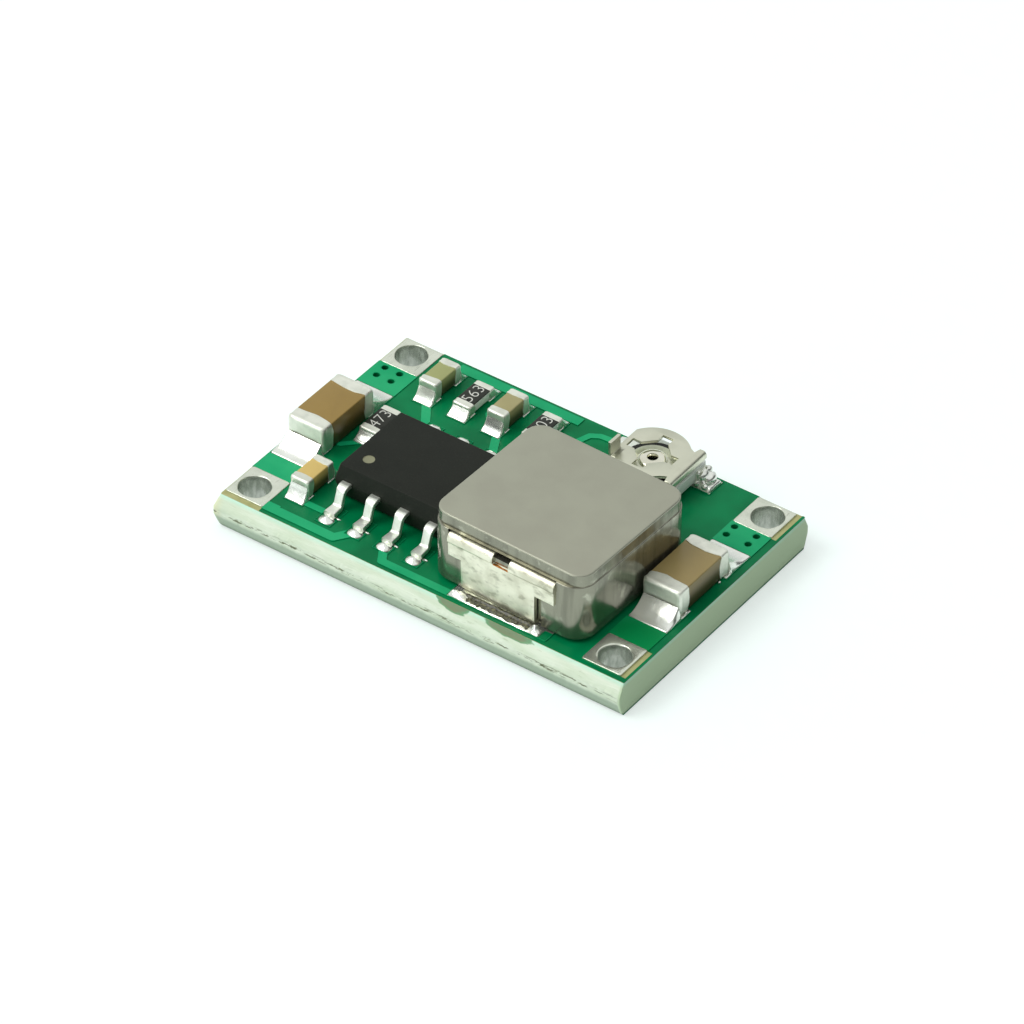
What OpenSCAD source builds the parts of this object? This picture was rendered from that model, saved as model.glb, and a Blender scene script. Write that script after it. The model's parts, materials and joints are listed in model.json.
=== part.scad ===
// Step-down converter module: a small two-layer board with a moulded inductor, a
// switching regulator, ceramic capacitors, chip resistors and a turnable trimmer.
// Millimetres, +Z up. X runs along the board, -Y is the edge beside the inductor.
// The origin is the middle of the outline, at the underside.

/* [Layout] */
// Left end of the board to the input capacitor
gap_end_cin = 0.135; // [0.1:0.005:0.6]
// Input capacitor to the bootstrap capacitor
gap_cin_boot = 0.235; // [0.2:0.005:0.6]
// Enable resistor further from the input capacitor than the bootstrap capacitor
ren_step = 0.03; // [0:0.01:0.1]
// Bootstrap capacitor to the regulator's body
gap_boot_ic = 0.62; // [0.4:0.01:1.0]
// Regulator's body to the inductor
gap_ic_ind = 0.37; // [0.2:0.01:1.0]
// Inductor to the output capacitor
gap_ind_cout = 0.12; // [0.1:0.01:0.6]
// Output capacitor to the right end
gap_cout_end = 0.38; // [0.3:0.01:0.6]
// Front edge to the inductor
gap_front_ind = 0.65; // [0.6:0.01:1.0]
// Inductor to the trimmer's ceramic base
gap_ind_trim = 1.325; // [1.2:0.005:2.0]
// Trimmer's ceramic base to the back edge
gap_trim_back = 0.045; // [0.03:0.005:0.6]
// Trimmer set towards the regulator from the inductor's middle
trim_side = 0.14; // [0:0.01:0.4]

/* [Board] */
// Thickness over copper and mask
board_t = 1.5; // [1.2:0.05:2.0]
// How far the broken web stands out along the long edges
edge_ridge = 0.25; // [0.1:0.01:0.35]
// How far the broken web stands out at the left end
end_ridge = 0.2; // [0.1:0.01:0.3]
// Height of the broken web itself
web_t = 0.3; // [0.15:0.05:0.5]
// Copper foil
copper_t = 0.035; // [0.02:0.005:0.07]
// Solder mask film
mask_t = 0.025; // [0.015:0.005:0.03]
// Mask that laps down the side of a copper track
mask_lap = 0.03; // [0.02:0.01:0.05]

/* [Corner terminals] */
// Bore of each plated hole
hole_d = 1.2; // [1.0:0.02:1.3]
// Plating on the wall of the hole
plating_t = 0.03; // [0.02:0.005:0.05]
// Side of the square tinned pad
pad_s = 1.64; // [1.6:0.02:1.7]
// Pad centre towards the middle of the board, from the hole centre
pad_in = 0.08; // [0:0.01:0.1]
// Hole centre from the left end of the flat face
hole_left = 0.8; // [0.78:0.01:0.9]
// Hole centre from the right end
hole_right = 1.04; // [0.98:0.01:1.1]
// Hole centre from the front edge
hole_front = 0.95; // [0.9:0.01:1.05]
// Hole centre from the back edge
hole_back = 0.8; // [0.78:0.01:0.95]
// Bare laminate left round the outer sides of a pad
bare_margin = 0.2; // [0.1:0.02:0.24]

/* [Via holes] */
// Drilled hole of a via
via_d = 0.26; // [0.2:0.02:0.3]
// Pitch of the input group along X
via_pitch_in = 0.66; // [0.6:0.02:0.8]
// Pitch of the output group along X
via_pitch_out = 0.93; // [0.7:0.01:0.96]
// Groups shifted towards the left end from the pads
via_shift = 0.1; // [0:0.01:0.15]
// Pitch of each group along Y
via_pitch_y = 0.52; // [0.5:0.02:0.6]

/* [Regulator] */
// Middle of the regulator from the front edge
ic_front = 4.14; // [4.0:0.01:4.2]
// Body length
ic_l = 4.9; // [4.8:0.02:5.0]
// Body width
ic_w = 3.9; // [3.8:0.02:4.0]
// Body height
ic_h = 1.35; // [1.2:0.05:1.5]
// Gap under the body
ic_gap = 0.1; // [0.05:0.01:0.2]
// Draft of the moulded sides
ic_draft = 0.14; // [0.08:0.01:0.18]
// Lead pitch
lead_pitch = 1.27; // [1.25:0.01:1.3]
// Leads on each side
lead_n = 4; // [3:1:4]
// Lead width
lead_w = 0.42; // [0.35:0.01:0.5]
// Lead sheet
lead_t = 0.2; // [0.15:0.01:0.22]
// Straight shoulder of a lead beside the body
lead_shoulder = 0.115; // [0.05:0.005:0.2]
// Flat foot that lies on the pad
lead_foot = 0.38; // [0.3:0.01:0.42]
// Angle through which a lead turns down
lead_turn = 70; // [66:1:80]
// Bend radius inside a lead
lead_r = 0.12; // [0.1:0.01:0.16]

/* [Inductor] */
// Turn of the inductor on its pads
ind_turn = -1.6; // [-2:0.1:0]
// Moulded body along X
ind_l = 6.68; // [6.5:0.01:6.7]
// Moulded body along Y
ind_w = 6.34; // [6.2:0.02:6.4]
// Height over the board's pads
ind_h = 2.92; // [2.7:0.02:3.2]
// Height of the upper slab above the parting line
slab_h = 0.5; // [0.4:0.02:0.6]
// Upper slab set back from the front and back faces
slab_step = 0.14; // [0.1:0.01:0.2]
// Upper slab set back from the end faces
slab_side = 0.04; // [0.01:0.01:0.06]
// Corner radius of the slab in plan
slab_r = 0.64; // [0.5:0.02:0.8]
// Bevel round the top of the slab
slab_bevel = 0.06; // [0.03:0.01:0.1]
// Corner radius in plan
ind_r = 0.82; // [0.6:0.02:1.0]
// Gap under the body
ind_gap = 0.06; // [0.04:0.01:0.1]
// Terminal sheet
clip_t = 0.15; // [0.12:0.01:0.18]
// Terminal set towards the left of the front face
clip_shift = 0.11; // [0:0.01:0.2]
// Width of the terminal's upper bar
clip_bar_w = 4.6; // [4.4:0.05:4.8]
// Height of the terminal's upper bar
clip_bar_h = 0.98; // [0.8:0.02:1.1]
// Width of the terminal's leg
clip_leg_w = 3.2; // [2.9:0.05:3.4]
// Leg set towards the left of the bar, seen on the face
clip_leg_shift = 0.14; // [0:0.01:0.2]
// Width of the notch in the rolled top
clip_notch_w = 0.7; // [0.5:0.02:0.9]
// Depth of that notch
clip_notch_h = 0.42; // [0.3:0.02:0.5]
// Leg under the body
clip_foot = 1.5; // [1.0:0.05:2.0]
// Bend radius outside the terminal
clip_r = 0.24; // [0.2:0.01:0.28]
// Room beside the leg in its recess
clip_room = 0.26; // [0.1:0.01:0.3]
// How far the roll lies below the parting line
clip_drop = 0.1; // [0.06:0.01:0.15]

/* [Large capacitors] */
// Input capacitor set towards the front from midway between the corner pads
cin_shift = 0.36; // [0.3:0.01:0.5]
// Output capacitor set towards the front from midway between the corner pads
cout_shift = 0.205; // [0.1:0.005:0.3]
// Length
big_l = 3.05; // [2.95:0.01:3.2]
// Width
big_w = 1.62; // [1.5:0.01:1.65]
// Height of the input capacitor
cin_h = 1.16; // [1.0:0.02:1.3]
// Height of the output capacitor
cout_h = 1.08; // [1.0:0.02:1.3]
// End band
big_band = 0.52; // [0.4:0.01:0.6]
// Pads of the large capacitors, overall
big_pads = 5.14; // [4.9:0.02:5.2]
// Length of each pad
big_pad = 1.5; // [1.3:0.02:1.6]
// Width of each pad
big_pad_w = 1.62; // [1.5:0.01:1.64]
// Pads shifted towards the back edge from the capacitors' middle
big_pad_back = 0.14; // [0:0.01:0.2]

/* [Small chips] */
// Length
chip_l = 1.56; // [1.5:0.01:1.65]
// Width
chip_w = 0.8; // [0.75:0.01:0.85]
// Height of the small capacitors
cap_h = 0.76; // [0.6:0.01:0.85]
// Height of the resistors
res_h = 0.42; // [0.35:0.01:0.55]
// End band of the capacitors
cap_band = 0.33; // [0.25:0.01:0.4]
// End band of the resistors
res_band = 0.3; // [0.2:0.01:0.35]
// Pads overall
chip_pads = 2.27; // [2.15:0.01:2.3]
// Length of each pad
chip_pad = 0.72; // [0.65:0.01:0.8]
// Middle of the back row from the back edge
row_back = 1.725; // [1.7:0.01:1.8]
// First chip of the back row from the left end
row_first = 2.755; // [2.74:0.01:2.8]
// Pitch of the back row
row_pitch = 1.515; // [1.5:0.005:1.53]
// Bootstrap capacitor from the front edge
boot_front = 2.235; // [2.2:0.01:2.3]
// Bootstrap capacitor to the enable resistor, middle to middle
boot_ren = 4.0; // [3.9:0.01:4.1]
// Solder film under each part
film_t = 0.04; // [0.02:0.005:0.06]
// Plating of the end bands
band_t = 0.03; // [0.02:0.005:0.04]
// Glass film on a resistor
glaze_t = 0.03; // [0.02:0.005:0.05]

/* [Trimmer] */
// Ceramic base along X
trim_l = 2.96; // [2.9:0.02:3.1]
// Ceramic base along Y
trim_w = 2.72; // [2.6:0.02:2.76]
// Ceramic base height
trim_base_h = 0.52; // [0.46:0.02:0.65]
// Terminal sheet
trim_term_t = 0.1; // [0.08:0.01:0.12]
// End terminal length beyond the base
trim_term_l = 0.42; // [0.3:0.01:0.45]
// End terminal width
trim_term_w = 0.7; // [0.6:0.02:0.75]
// End terminal length under the base
trim_term_in = 0.45; // [0.3:0.01:0.5]
// Height of the end terminal's turned-up wall
trim_term_h = 0.4; // [0.3:0.01:0.45]
// Solder height at the end terminals
trim_fillet = 0.3; // [0.2:0.01:0.35]
// Distance of the end terminals behind the rotor axis
trim_term_y = 0.86; // [0.8:0.01:0.9]
// Radius of the rotor plate
rotor_r = 1.38; // [1.3:0.01:1.4]
// Flat side of the plate from the axis
rotor_flat = 1.19; // [1.1:0.01:1.25]
// Folded side of the plate from the axis
rotor_fold = 1.56; // [1.5:0.01:1.62]
// Length of the folded side along Y
rotor_fold_w = 2.1; // [1.8:0.02:2.2]
// Rotor sheet
rotor_t = 0.12; // [0.1:0.01:0.15]
// Height over both leaves of the rotor
rotor_h = 0.5; // [0.44:0.01:0.6]
// Drive slot, arm to arm
slot_l = 1.98; // [1.8:0.02:2.1]
// Drive slot width
slot_w = 0.44; // [0.35:0.01:0.5]
// Round opening in the middle of the slot
slot_d = 1.3; // [1.1:0.02:1.4]
// Raised stop tab height
stop_h = 0.55; // [0.4:0.01:0.7]
// Raised stop tab length
stop_l = 0.62; // [0.5:0.01:0.7]
// Eyelet shank
eyelet_d = 0.7; // [0.6:0.01:0.8]
// Eyelet head
eyelet_head_d = 1.04; // [0.95:0.01:1.06]
// Eyelet bore
eyelet_bore = 0.34; // [0.25:0.01:0.4]
// Running clearance between rotor and eyelet, radial
rotor_clear = 0.03; // [0.02:0.005:0.05]
// Running clearance under the rotor and under the head
rotor_lift = 0.03; // [0.02:0.005:0.05]
// Width of the resistive track
track_w = 0.4; // [0.3:0.01:0.45]
// Mean radius of the resistive track
track_r = 0.98; // [0.9:0.01:1.0]
// Angle of the resistive track
track_deg = 260; // [220:5:270]
// Thickness of the resistive track
track_t = 0.02; // [0.01:0.005:0.03]

/* [Hidden] */
$fn = 48;
e = 0.01;

// the board is as long and as wide as what it carries
board_l = gap_end_cin + big_w + gap_cin_boot + chip_w + gap_boot_ic + ic_l + gap_ic_ind
  + ind_l + gap_ind_cout + big_w + gap_cout_end;
board_w = gap_front_ind + ind_w + gap_ind_trim + trim_w + gap_trim_back;
// outline of the flat faces; the ridge stands out at three of the four sides
left = -board_l / 2 + end_ridge / 2;
right = board_l / 2 + end_ridge / 2;
front = -board_w / 2;
back = board_w / 2;
skin = copper_t + mask_t;
z_core0 = skin;
z_core1 = board_t - skin;
z_cu = z_core1 + copper_t;
z_seat = z_cu + film_t;

// hole centres: in +, in -, out +, out -
hx = [left + hole_left, right - hole_right];
hy = [front + hole_front, back - hole_back];
pad_cx = [hx[0] + pad_in, hx[1] - pad_in];
pad_cy = [hy[0] + pad_in, hy[1] - pad_in];

// large capacitors
mid_y = (pad_cy[0] + pad_cy[1]) / 2;
cin_x = left + gap_end_cin + big_w / 2;
cin_y = mid_y - cin_shift;
cout_x = right - gap_cout_end - big_w / 2;
cout_y = mid_y - cout_shift;
cin_pad_x = pad_cx[0];
cout_pad_x = pad_cx[1];

// small chips: [x, y]
row_y = back - row_back;
ccomp_p = [left + row_first, row_y];
rcomp_p = [left + row_first + row_pitch, row_y];
cfilt_p = [left + row_first + 2 * row_pitch, row_y];
rfb_p = [left + row_first + 3 * row_pitch, row_y];
cboot_p = [cin_x + big_w / 2 + gap_cin_boot + chip_w / 2, front + boot_front];
ren_p = cboot_p + [ren_step, boot_ren];
small = [ccomp_p, rcomp_p, cfilt_p, rfb_p, cboot_p, ren_p];

// regulator and its leads; the leads' profile gives their reach
ic_x = cboot_p[0] + chip_w / 2 + gap_boot_ic + ic_l / 2;
ic_y = front + ic_front;
lead_rc = lead_r + lead_t / 2;
lead_drop = ic_gap + ic_h * 0.5 - lead_t / 2;
lead_run = (lead_drop - 2 * lead_rc * (1 - cos(lead_turn))) / sin(lead_turn);
lead_reach = lead_shoulder + lead_foot + 2 * lead_rc * sin(lead_turn) + lead_run * cos(lead_turn);
lead_span = ic_w + 2 * lead_reach;
lead_x = [for (i = [0:lead_n - 1]) ic_x + (i - (lead_n - 1) / 2) * lead_pitch];
ic_mark = [0.83, 0.93];
lead_pad_w = lead_w + 0.2;
lead_pad_in = lead_span / 2 - lead_foot - 0.25;
lead_pad_out = lead_span / 2 + 0.38;
lead_z = z_seat + ic_gap + ic_h * 0.5;

// inductor
ind_x = ic_x + ic_l / 2 + gap_ic_ind + ind_l / 2;
ind_y = front + gap_front_ind + ind_w / 2;
ind_front = ind_y - ind_w / 2;
ind_back = ind_y + ind_w / 2;
clip_x = ind_x - clip_shift;
ind_pad_w = clip_leg_w + 1.0;
ind_pad_out = min(0.47, ind_front - front - 0.12);
ind_pad_in = clip_foot + 0.1;
ind_z0 = z_seat + clip_t - ind_gap;
ind_z1 = z_seat + ind_h;
part_z = ind_z1 - slab_h;
bar_top = part_z - clip_drop;
clip_depth = 0.5;
clip_out = 0.06;

// trimmer
trim_x = ind_x - trim_side;
trim_y = back - gap_trim_back - trim_w / 2;
trim_z0 = z_seat + trim_term_t;
trim_z1 = trim_z0 + trim_base_h;
track_z = trim_z1 + track_t;
rotor_z0 = track_z + rotor_lift;
rotor_z1 = rotor_z0 + rotor_h;
trim_pad = [trim_term_l + trim_term_in + 0.1, trim_term_w + 0.15];
trim_pad_x = trim_l / 2 + trim_term_l + 0.26 - trim_pad[0] / 2;
wiper_pad = [1.0, 0.9];
wiper_pad_y = -trim_w / 2 - 0.15;
wiper_w = 0.8;

// vias
via_x = [pad_cx[0] - via_shift, pad_cx[1] - via_shift];
via_pitch_x = [via_pitch_in, via_pitch_out];
via_y = pad_cy[1] - pad_s / 2 - 0.24 - via_pitch_y / 2;

// ---------- shared shapes ----------

module rrect(l, w, r) {
  square([l - 2 * r, w], center = true);
  square([l, w - 2 * r], center = true);
  for (sx = [-1, 1], sy = [-1, 1])
    translate([sx * (l / 2 - r), sy * (w / 2 - r)])
      circle(r);
}

// a block with every edge rounded by the cylinders of three outlines
module rblock(l, w, h, r) {
  intersection() {
    linear_extrude(h)
      rrect(l, w, r);
    translate([0, w / 2, h / 2])
      rotate([90, 0, 0])
        linear_extrude(w)
          rrect(l, h, r);
    translate([-l / 2, 0, h / 2])
      rotate([90, 0, 90])
        linear_extrude(l)
          rrect(w, h, r);
  }
}

module rect(x0, x1, y0, y1, g = 0) {
  translate([x0 - g, y0 - g])
    square([x1 - x0 + 2 * g, y1 - y0 + 2 * g]);
}

// one straight run of a copper track with round ends
module run(a, b, w) {
  d = b - a;
  translate(a)
    rotate(atan2(d[1], d[0]))
      translate([0, -w / 2])
        square([norm(d), w]);
  for (p = [a, b])
    translate(p)
      circle(w / 2);
}

module track(pts, w) {
  for (i = [0:len(pts) - 2])
    run(pts[i], pts[i + 1], w);
}

// ---------- copper and mask outlines ----------

module board_2d() {
  rect(left, right, front, back);
}

module corner_pads_2d(g = 0) {
  for (x = pad_cx, y = pad_cy)
    rect(x - pad_s / 2, x + pad_s / 2, y - pad_s / 2, y + pad_s / 2, g);
}

// two pads of a chip that lies along Y
module chip_pads_2d(c, over, len, w, g = 0) {
  for (s = [-1, 1])
    rect(c[0] - w / 2, c[0] + w / 2,
      c[1] + s * (over - len) / 2 - len / 2, c[1] + s * (over - len) / 2 + len / 2, g);
}

module part_pads_2d(g = 0) {
  chip_pads_2d([cin_pad_x, cin_y + big_pad_back], big_pads, big_pad, big_pad_w, g);
  chip_pads_2d([cout_pad_x, cout_y + big_pad_back], big_pads, big_pad, big_pad_w, g);
  for (p = small)
    chip_pads_2d(p, chip_pads, chip_pad, chip_w, g);
  for (x = lead_x, s = [-1, 1])
    rect(x - lead_pad_w / 2, x + lead_pad_w / 2,
      ic_y + (s < 0 ? -lead_pad_out : lead_pad_in),
      ic_y + (s < 0 ? -lead_pad_in : lead_pad_out), g);
  rect(clip_x - ind_pad_w / 2, clip_x + ind_pad_w / 2,
    ind_front - ind_pad_out, ind_front + ind_pad_in, g);
  rect(clip_x - ind_pad_w / 2, clip_x + ind_pad_w / 2,
    ind_back - ind_pad_in, ind_back + 0.3, g);
  for (s = [-1, 1])
    translate([trim_x + s * trim_pad_x, trim_y + trim_term_y])
      square([trim_pad[0] + 2 * g, trim_pad[1] + 2 * g], center = true);
  translate([trim_x, trim_y + wiper_pad_y])
    square([wiper_pad[0] + 2 * g, wiper_pad[1] + 2 * g], center = true);
}

module tracks_2d(g = 0) {
  // wide strips from the corner pads to the large capacitors
  for (x = [cin_pad_x, cout_pad_x]) {
    c = (x < 0 ? cin_y : cout_y) + big_pad_back;
    rect(x - big_pad_w / 2, x + big_pad_w / 2, pad_cy[0] + pad_s / 2, c - big_pads / 2, g);
    rect(x - big_pad_w / 2, x + big_pad_w / 2, c + big_pads / 2, pad_cy[1] - pad_s / 2, g);
  }
  // supply to the second lead
  track([[pad_cx[0] + pad_s / 2 + 0.16, front + 0.35], [lead_x[1] - 0.5, front + 0.35],
    [lead_x[1], ic_y - lead_pad_out + 0.3]], 0.34 + 2 * g);
  rect(pad_cx[0] + pad_s / 2, pad_cx[0] + pad_s / 2 + 0.5, front + 0.18, front + 0.58, g);
  // switch node from the third lead to the inductor
  track([[lead_x[2], ic_y - lead_pad_out + 0.2], [lead_x[2] + 0.4, front + 0.3],
    [clip_x - ind_pad_w / 2 + 0.1, front + 0.3]], 0.26 + 2 * g);
  // bootstrap to the first lead
  track([cboot_p + [0.2, -chip_pads / 2 + 0.2], [lead_x[0], cboot_p[1] - chip_pads / 2 + 0.2]],
    0.22 + 2 * g);
  // enable resistor to the input strip
  track([ren_p - [0, chip_pads / 2 - 0.2], ren_p - [0.65, chip_pads / 2 + 0.45]], 0.16 + 2 * g);
  // compensation capacitor to the eighth lead
  track([ccomp_p + [0.1, -chip_pads / 2 + 0.2], [lead_x[0] - 0.35, ic_y + lead_pad_out - 0.2],
    [lead_x[0], ic_y + lead_pad_out - 0.3]], 0.28 + 2 * g);
  // filter capacitor to the sixth lead
  track([cfilt_p + [0.2, -chip_pads / 2 + 0.2], [lead_x[2] + 0.05, ic_y + lead_pad_out - 0.2]],
    0.26 + 2 * g);
  // trimmer end
  track([[rfb_p[0] + 1.25, rfb_p[1] - 0.9], [rfb_p[0] + 1.25, rfb_p[1] + 0.45],
    [rfb_p[0] + 1.42, rfb_p[1] + 0.95], [rfb_p[0] + 1.75, rfb_p[1] + 1.15],
    [trim_x - trim_pad_x - trim_pad[0] / 2 - 0.3, trim_y + trim_term_y],
    [trim_x - trim_pad_x, trim_y + trim_term_y]], 0.2 + 2 * g);
  // return strip along the back edge
  rect(ccomp_p[0] - 0.1, rfb_p[0] + 0.7, back - 0.52, back - 0.16, g);
  track([[cfilt_p[0] - 0.75, back - 0.4], [cfilt_p[0] - 0.75, row_y - 0.2],
    [cfilt_p[0] - 0.3, row_y - 0.65]], 0.12 + 2 * g);
}

module via_holes_2d(d) {
  for (i = [0, 1], sx = [-1, 1], sy = [-1, 1])
    translate([via_x[i] + sx * via_pitch_x[i] / 2, via_y + sy * via_pitch_y / 2])
      circle(d / 2);
}

// where the mask leaves the surface bare
module openings_2d() {
  for (i = [0, 1], j = [0, 1])
    rect(
      pad_cx[i] - pad_s / 2 - (i == 0 ? bare_margin : 0),
      pad_cx[i] + pad_s / 2 + (i == 1 ? bare_margin : 0),
      pad_cy[j] - pad_s / 2 - (j == 0 && i == 0 ? bare_margin + 0.1 : 0),
      pad_cy[j] + pad_s / 2 + (j == 1 ? bare_margin + 0.1 : 0));
  part_pads_2d(0.02);
}

module holes_3d(extra = 0) {
  for (x = hx, y = hy)
    translate([x, y, -e])
      cylinder(d = hole_d + 2 * plating_t + extra, h = board_t + 2 * e);
}

// ---------- board ----------

// profile of a scored edge pair: half width w at the faces, r more at the web
module scored(w0, w1, r0, r1) {
  m = (z_core0 + z_core1) / 2;
  polygon([
    [w0, z_core0], [w1, z_core0], [w1 + r1, m - web_t / 2], [w1 + r1, m + web_t / 2],
    [w1, z_core1], [w0, z_core1], [w0 - r0, m + web_t / 2], [w0 - r0, m - web_t / 2]
  ]);
}

module laminate() {
  color("#c9d6a8")
    difference() {
      intersection() {
        translate([left - end_ridge - 1, 0, 0])
          rotate([90, 0, 90])
            linear_extrude(board_l + end_ridge + 2)
              scored(front, back, edge_ridge, edge_ridge);
        translate([0, back + edge_ridge + 1, 0])
          rotate([90, 0, 0])
            linear_extrude(board_w + 2 * edge_ridge + 2)
              scored(left, right, end_ridge, 0);
      }
      holes_3d();
      linear_extrude(board_t)
        via_holes_2d(via_d + 2 * plating_t);
    }
}

module top_copper_2d(g = 0) {
  difference() {
    intersection() {
      union() {
        part_pads_2d(g);
        tracks_2d(g);
      }
      board_2d();
    }
    corner_pads_2d();
  }
}

module top_copper() {
  color("#c47f4d")
    translate([0, 0, z_core1])
      linear_extrude(copper_t)
        difference() {
          top_copper_2d();
          via_holes_2d(via_d + 2 * plating_t);
        }
}

module top_mask() {
  color("#00734b")
    translate([0, 0, z_core1])
      difference() {
        union() {
          linear_extrude(mask_t)
            difference() {
              board_2d();
              openings_2d();
            }
          linear_extrude(skin)
            difference() {
              intersection() {
                top_copper_2d(mask_lap);
                board_2d();
              }
              openings_2d();
            }
        }
        translate([0, 0, -e])
          linear_extrude(copper_t + e)
            top_copper_2d();
        translate([0, 0, -e])
          linear_extrude(skin + 2 * e)
            via_holes_2d(via_d + 2 * plating_t);
      }
}

// the underside carries one ground pour, cut back from the two supply corners
module bottom_copper_2d() {
  difference() {
    rect(left + 0.3, right - 0.3, front + 0.3, back - 0.3);
    for (x = hx, y = hy)
      translate([x, y])
        square(pad_s + 2 * pad_in + 0.4, center = true);
    via_holes_2d(via_d + 2 * plating_t);
  }
}

module bottom_copper() {
  color("#c47f4d")
    translate([0, 0, mask_t])
      linear_extrude(copper_t)
        bottom_copper_2d();
}

module bottom_mask() {
  color("#00734b")
    difference() {
      linear_extrude(skin)
        difference() {
          board_2d();
          corner_pads_2d(0.02);
          via_holes_2d(via_d + 2 * plating_t);
        }
      translate([0, 0, mask_t])
        linear_extrude(copper_t + e)
          bottom_copper_2d();
    }
}

module vias() {
  color("#b9c0b4")
    linear_extrude(board_t)
      difference() {
        via_holes_2d(via_d + 2 * plating_t);
        via_holes_2d(via_d);
      }
}

// plated hole with its tinned pads on both faces, as one piece
module plated_corner(i, j) {
  color("#d4d8d0")
    difference() {
      union() {
        for (z = [0, z_core1])
          translate([pad_cx[i], pad_cy[j], z])
            linear_extrude(skin)
              square(pad_s, center = true);
        translate([hx[i], hy[j], 0])
          cylinder(d = hole_d + 2 * plating_t, h = board_t);
      }
      translate([hx[i], hy[j], -e])
        cylinder(d = hole_d, h = board_t + 2 * e);
    }
}

module corner_in_pos() { plated_corner(0, 0); }
module corner_in_neg() { plated_corner(0, 1); }
module corner_out_pos() { plated_corner(1, 0); }
module corner_out_neg() { plated_corner(1, 1); }

// ---------- regulator ----------

// side outline of the moulded body, drafted above and below the lead line
module ic_side(w) {
  z0 = z_seat + ic_gap;
  z1 = z0 + ic_h;
  polygon([
    [-w / 2 + ic_draft, z0], [w / 2 - ic_draft, z0], [w / 2, lead_z - lead_t / 2],
    [w / 2, lead_z + lead_t / 2], [w / 2 - ic_draft, z1], [-w / 2 + ic_draft, z1],
    [-w / 2, lead_z + lead_t / 2], [-w / 2, lead_z - lead_t / 2]
  ]);
}

module ic_body() {
  color("#262826")
    translate([ic_x, ic_y, 0])
      difference() {
        intersection() {
          translate([-ic_l / 2 - 1, 0, 0])
            rotate([90, 0, 90])
              linear_extrude(ic_l + 2)
                ic_side(ic_w);
          translate([0, ic_w / 2 + 1, 0])
            rotate([90, 0, 0])
              linear_extrude(ic_w + 2)
                ic_side(ic_l);
        }
        // shallow mark beside the first lead
        translate([-ic_l / 2 + ic_mark[0], -ic_w / 2 + ic_mark[1], z_seat + ic_gap + ic_h - 0.02])
          cylinder(d = 0.44, h = 0.1);
      }
}

// gull-wing profile in the plane of Y and Z, from the body face outwards
lead_c1 = [ic_w / 2 + lead_shoulder, lead_z - lead_rc];
lead_n1 = [sin(lead_turn), cos(lead_turn)];
lead_c2 = lead_c1 + 2 * lead_rc * lead_n1 + lead_run * [cos(lead_turn), -sin(lead_turn)];

function arc(c, r, a0, a1, n = 8) =
  [for (i = [0:n]) c + r * [cos(a0 + (a1 - a0) * i / n), sin(a0 + (a1 - a0) * i / n)]];

// one side of the lead: k = 1 is the upper surface, k = -1 the lower one
function lead_side(k) = concat(
  [[ic_w / 2, lead_z + k * lead_t / 2]],
  arc(lead_c1, lead_rc + k * lead_t / 2, 90, 90 - lead_turn),
  arc(lead_c2, lead_rc - k * lead_t / 2, 270 - lead_turn, 270),
  [[lead_span / 2, z_seat + lead_t / 2 + k * lead_t / 2]]
);

module lead_2d() {
  low = lead_side(-1);
  polygon(concat(lead_side(1), [for (i = [len(low) - 1:-1:0]) low[i]]));
}

module each_lead() {
  for (x = lead_x, s = [-1, 1])
    translate([x, ic_y, 0])
      to_side(s)
        children();
}

// turns a +Y shape to the side given by s
module to_side(s) {
  rotate(s > 0 ? 0 : 180)
    children();
}

module ic_leads() {
  color("#d8d8d0")
    each_lead()
      translate([-lead_w / 2, 0, 0])
        rotate([90, 0, 90])
          linear_extrude(lead_w)
            lead_2d();
}

// film under the foot, toe fillet and a low bank on both sides
module ic_solder() {
  w = lead_pad_w;
  color("#e2e2da")
    each_lead() {
      translate([-w / 2, lead_pad_in, z_cu])
        cube([w, lead_pad_out - lead_pad_in, film_t]);
      translate([-lead_w / 2, lead_span / 2, z_seat - e])
        fillet_y(lead_pad_out - lead_span / 2, lead_t * 0.9, lead_w);
    }
}

// concave solder fillet: d long in Y, h high, w wide in X, against the plane y = 0
module fillet_y(d, h, w) {
  r = max(d, h) * 1.6;
  rotate([90, 0, 90])
    linear_extrude(w)
      difference() {
        polygon([[0, 0], [d, 0], [0, h + e]]);
        fillet_cut(d, h, r);
      }
}

// circle through both ends of the fillet that hollows its slope
module fillet_cut(d, h, r) {
  m = [d / 2, (h + e) / 2];
  n = [h + e, d] / norm([h + e, d]);
  k = sqrt(r * r - (d * d + (h + e) * (h + e)) / 4);
  translate(m + n * k)
    circle(r);
}

// ---------- inductor ----------

module at_inductor() {
  translate([ind_x, ind_y, 0])
    rotate(ind_turn)
      children();
}

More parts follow.
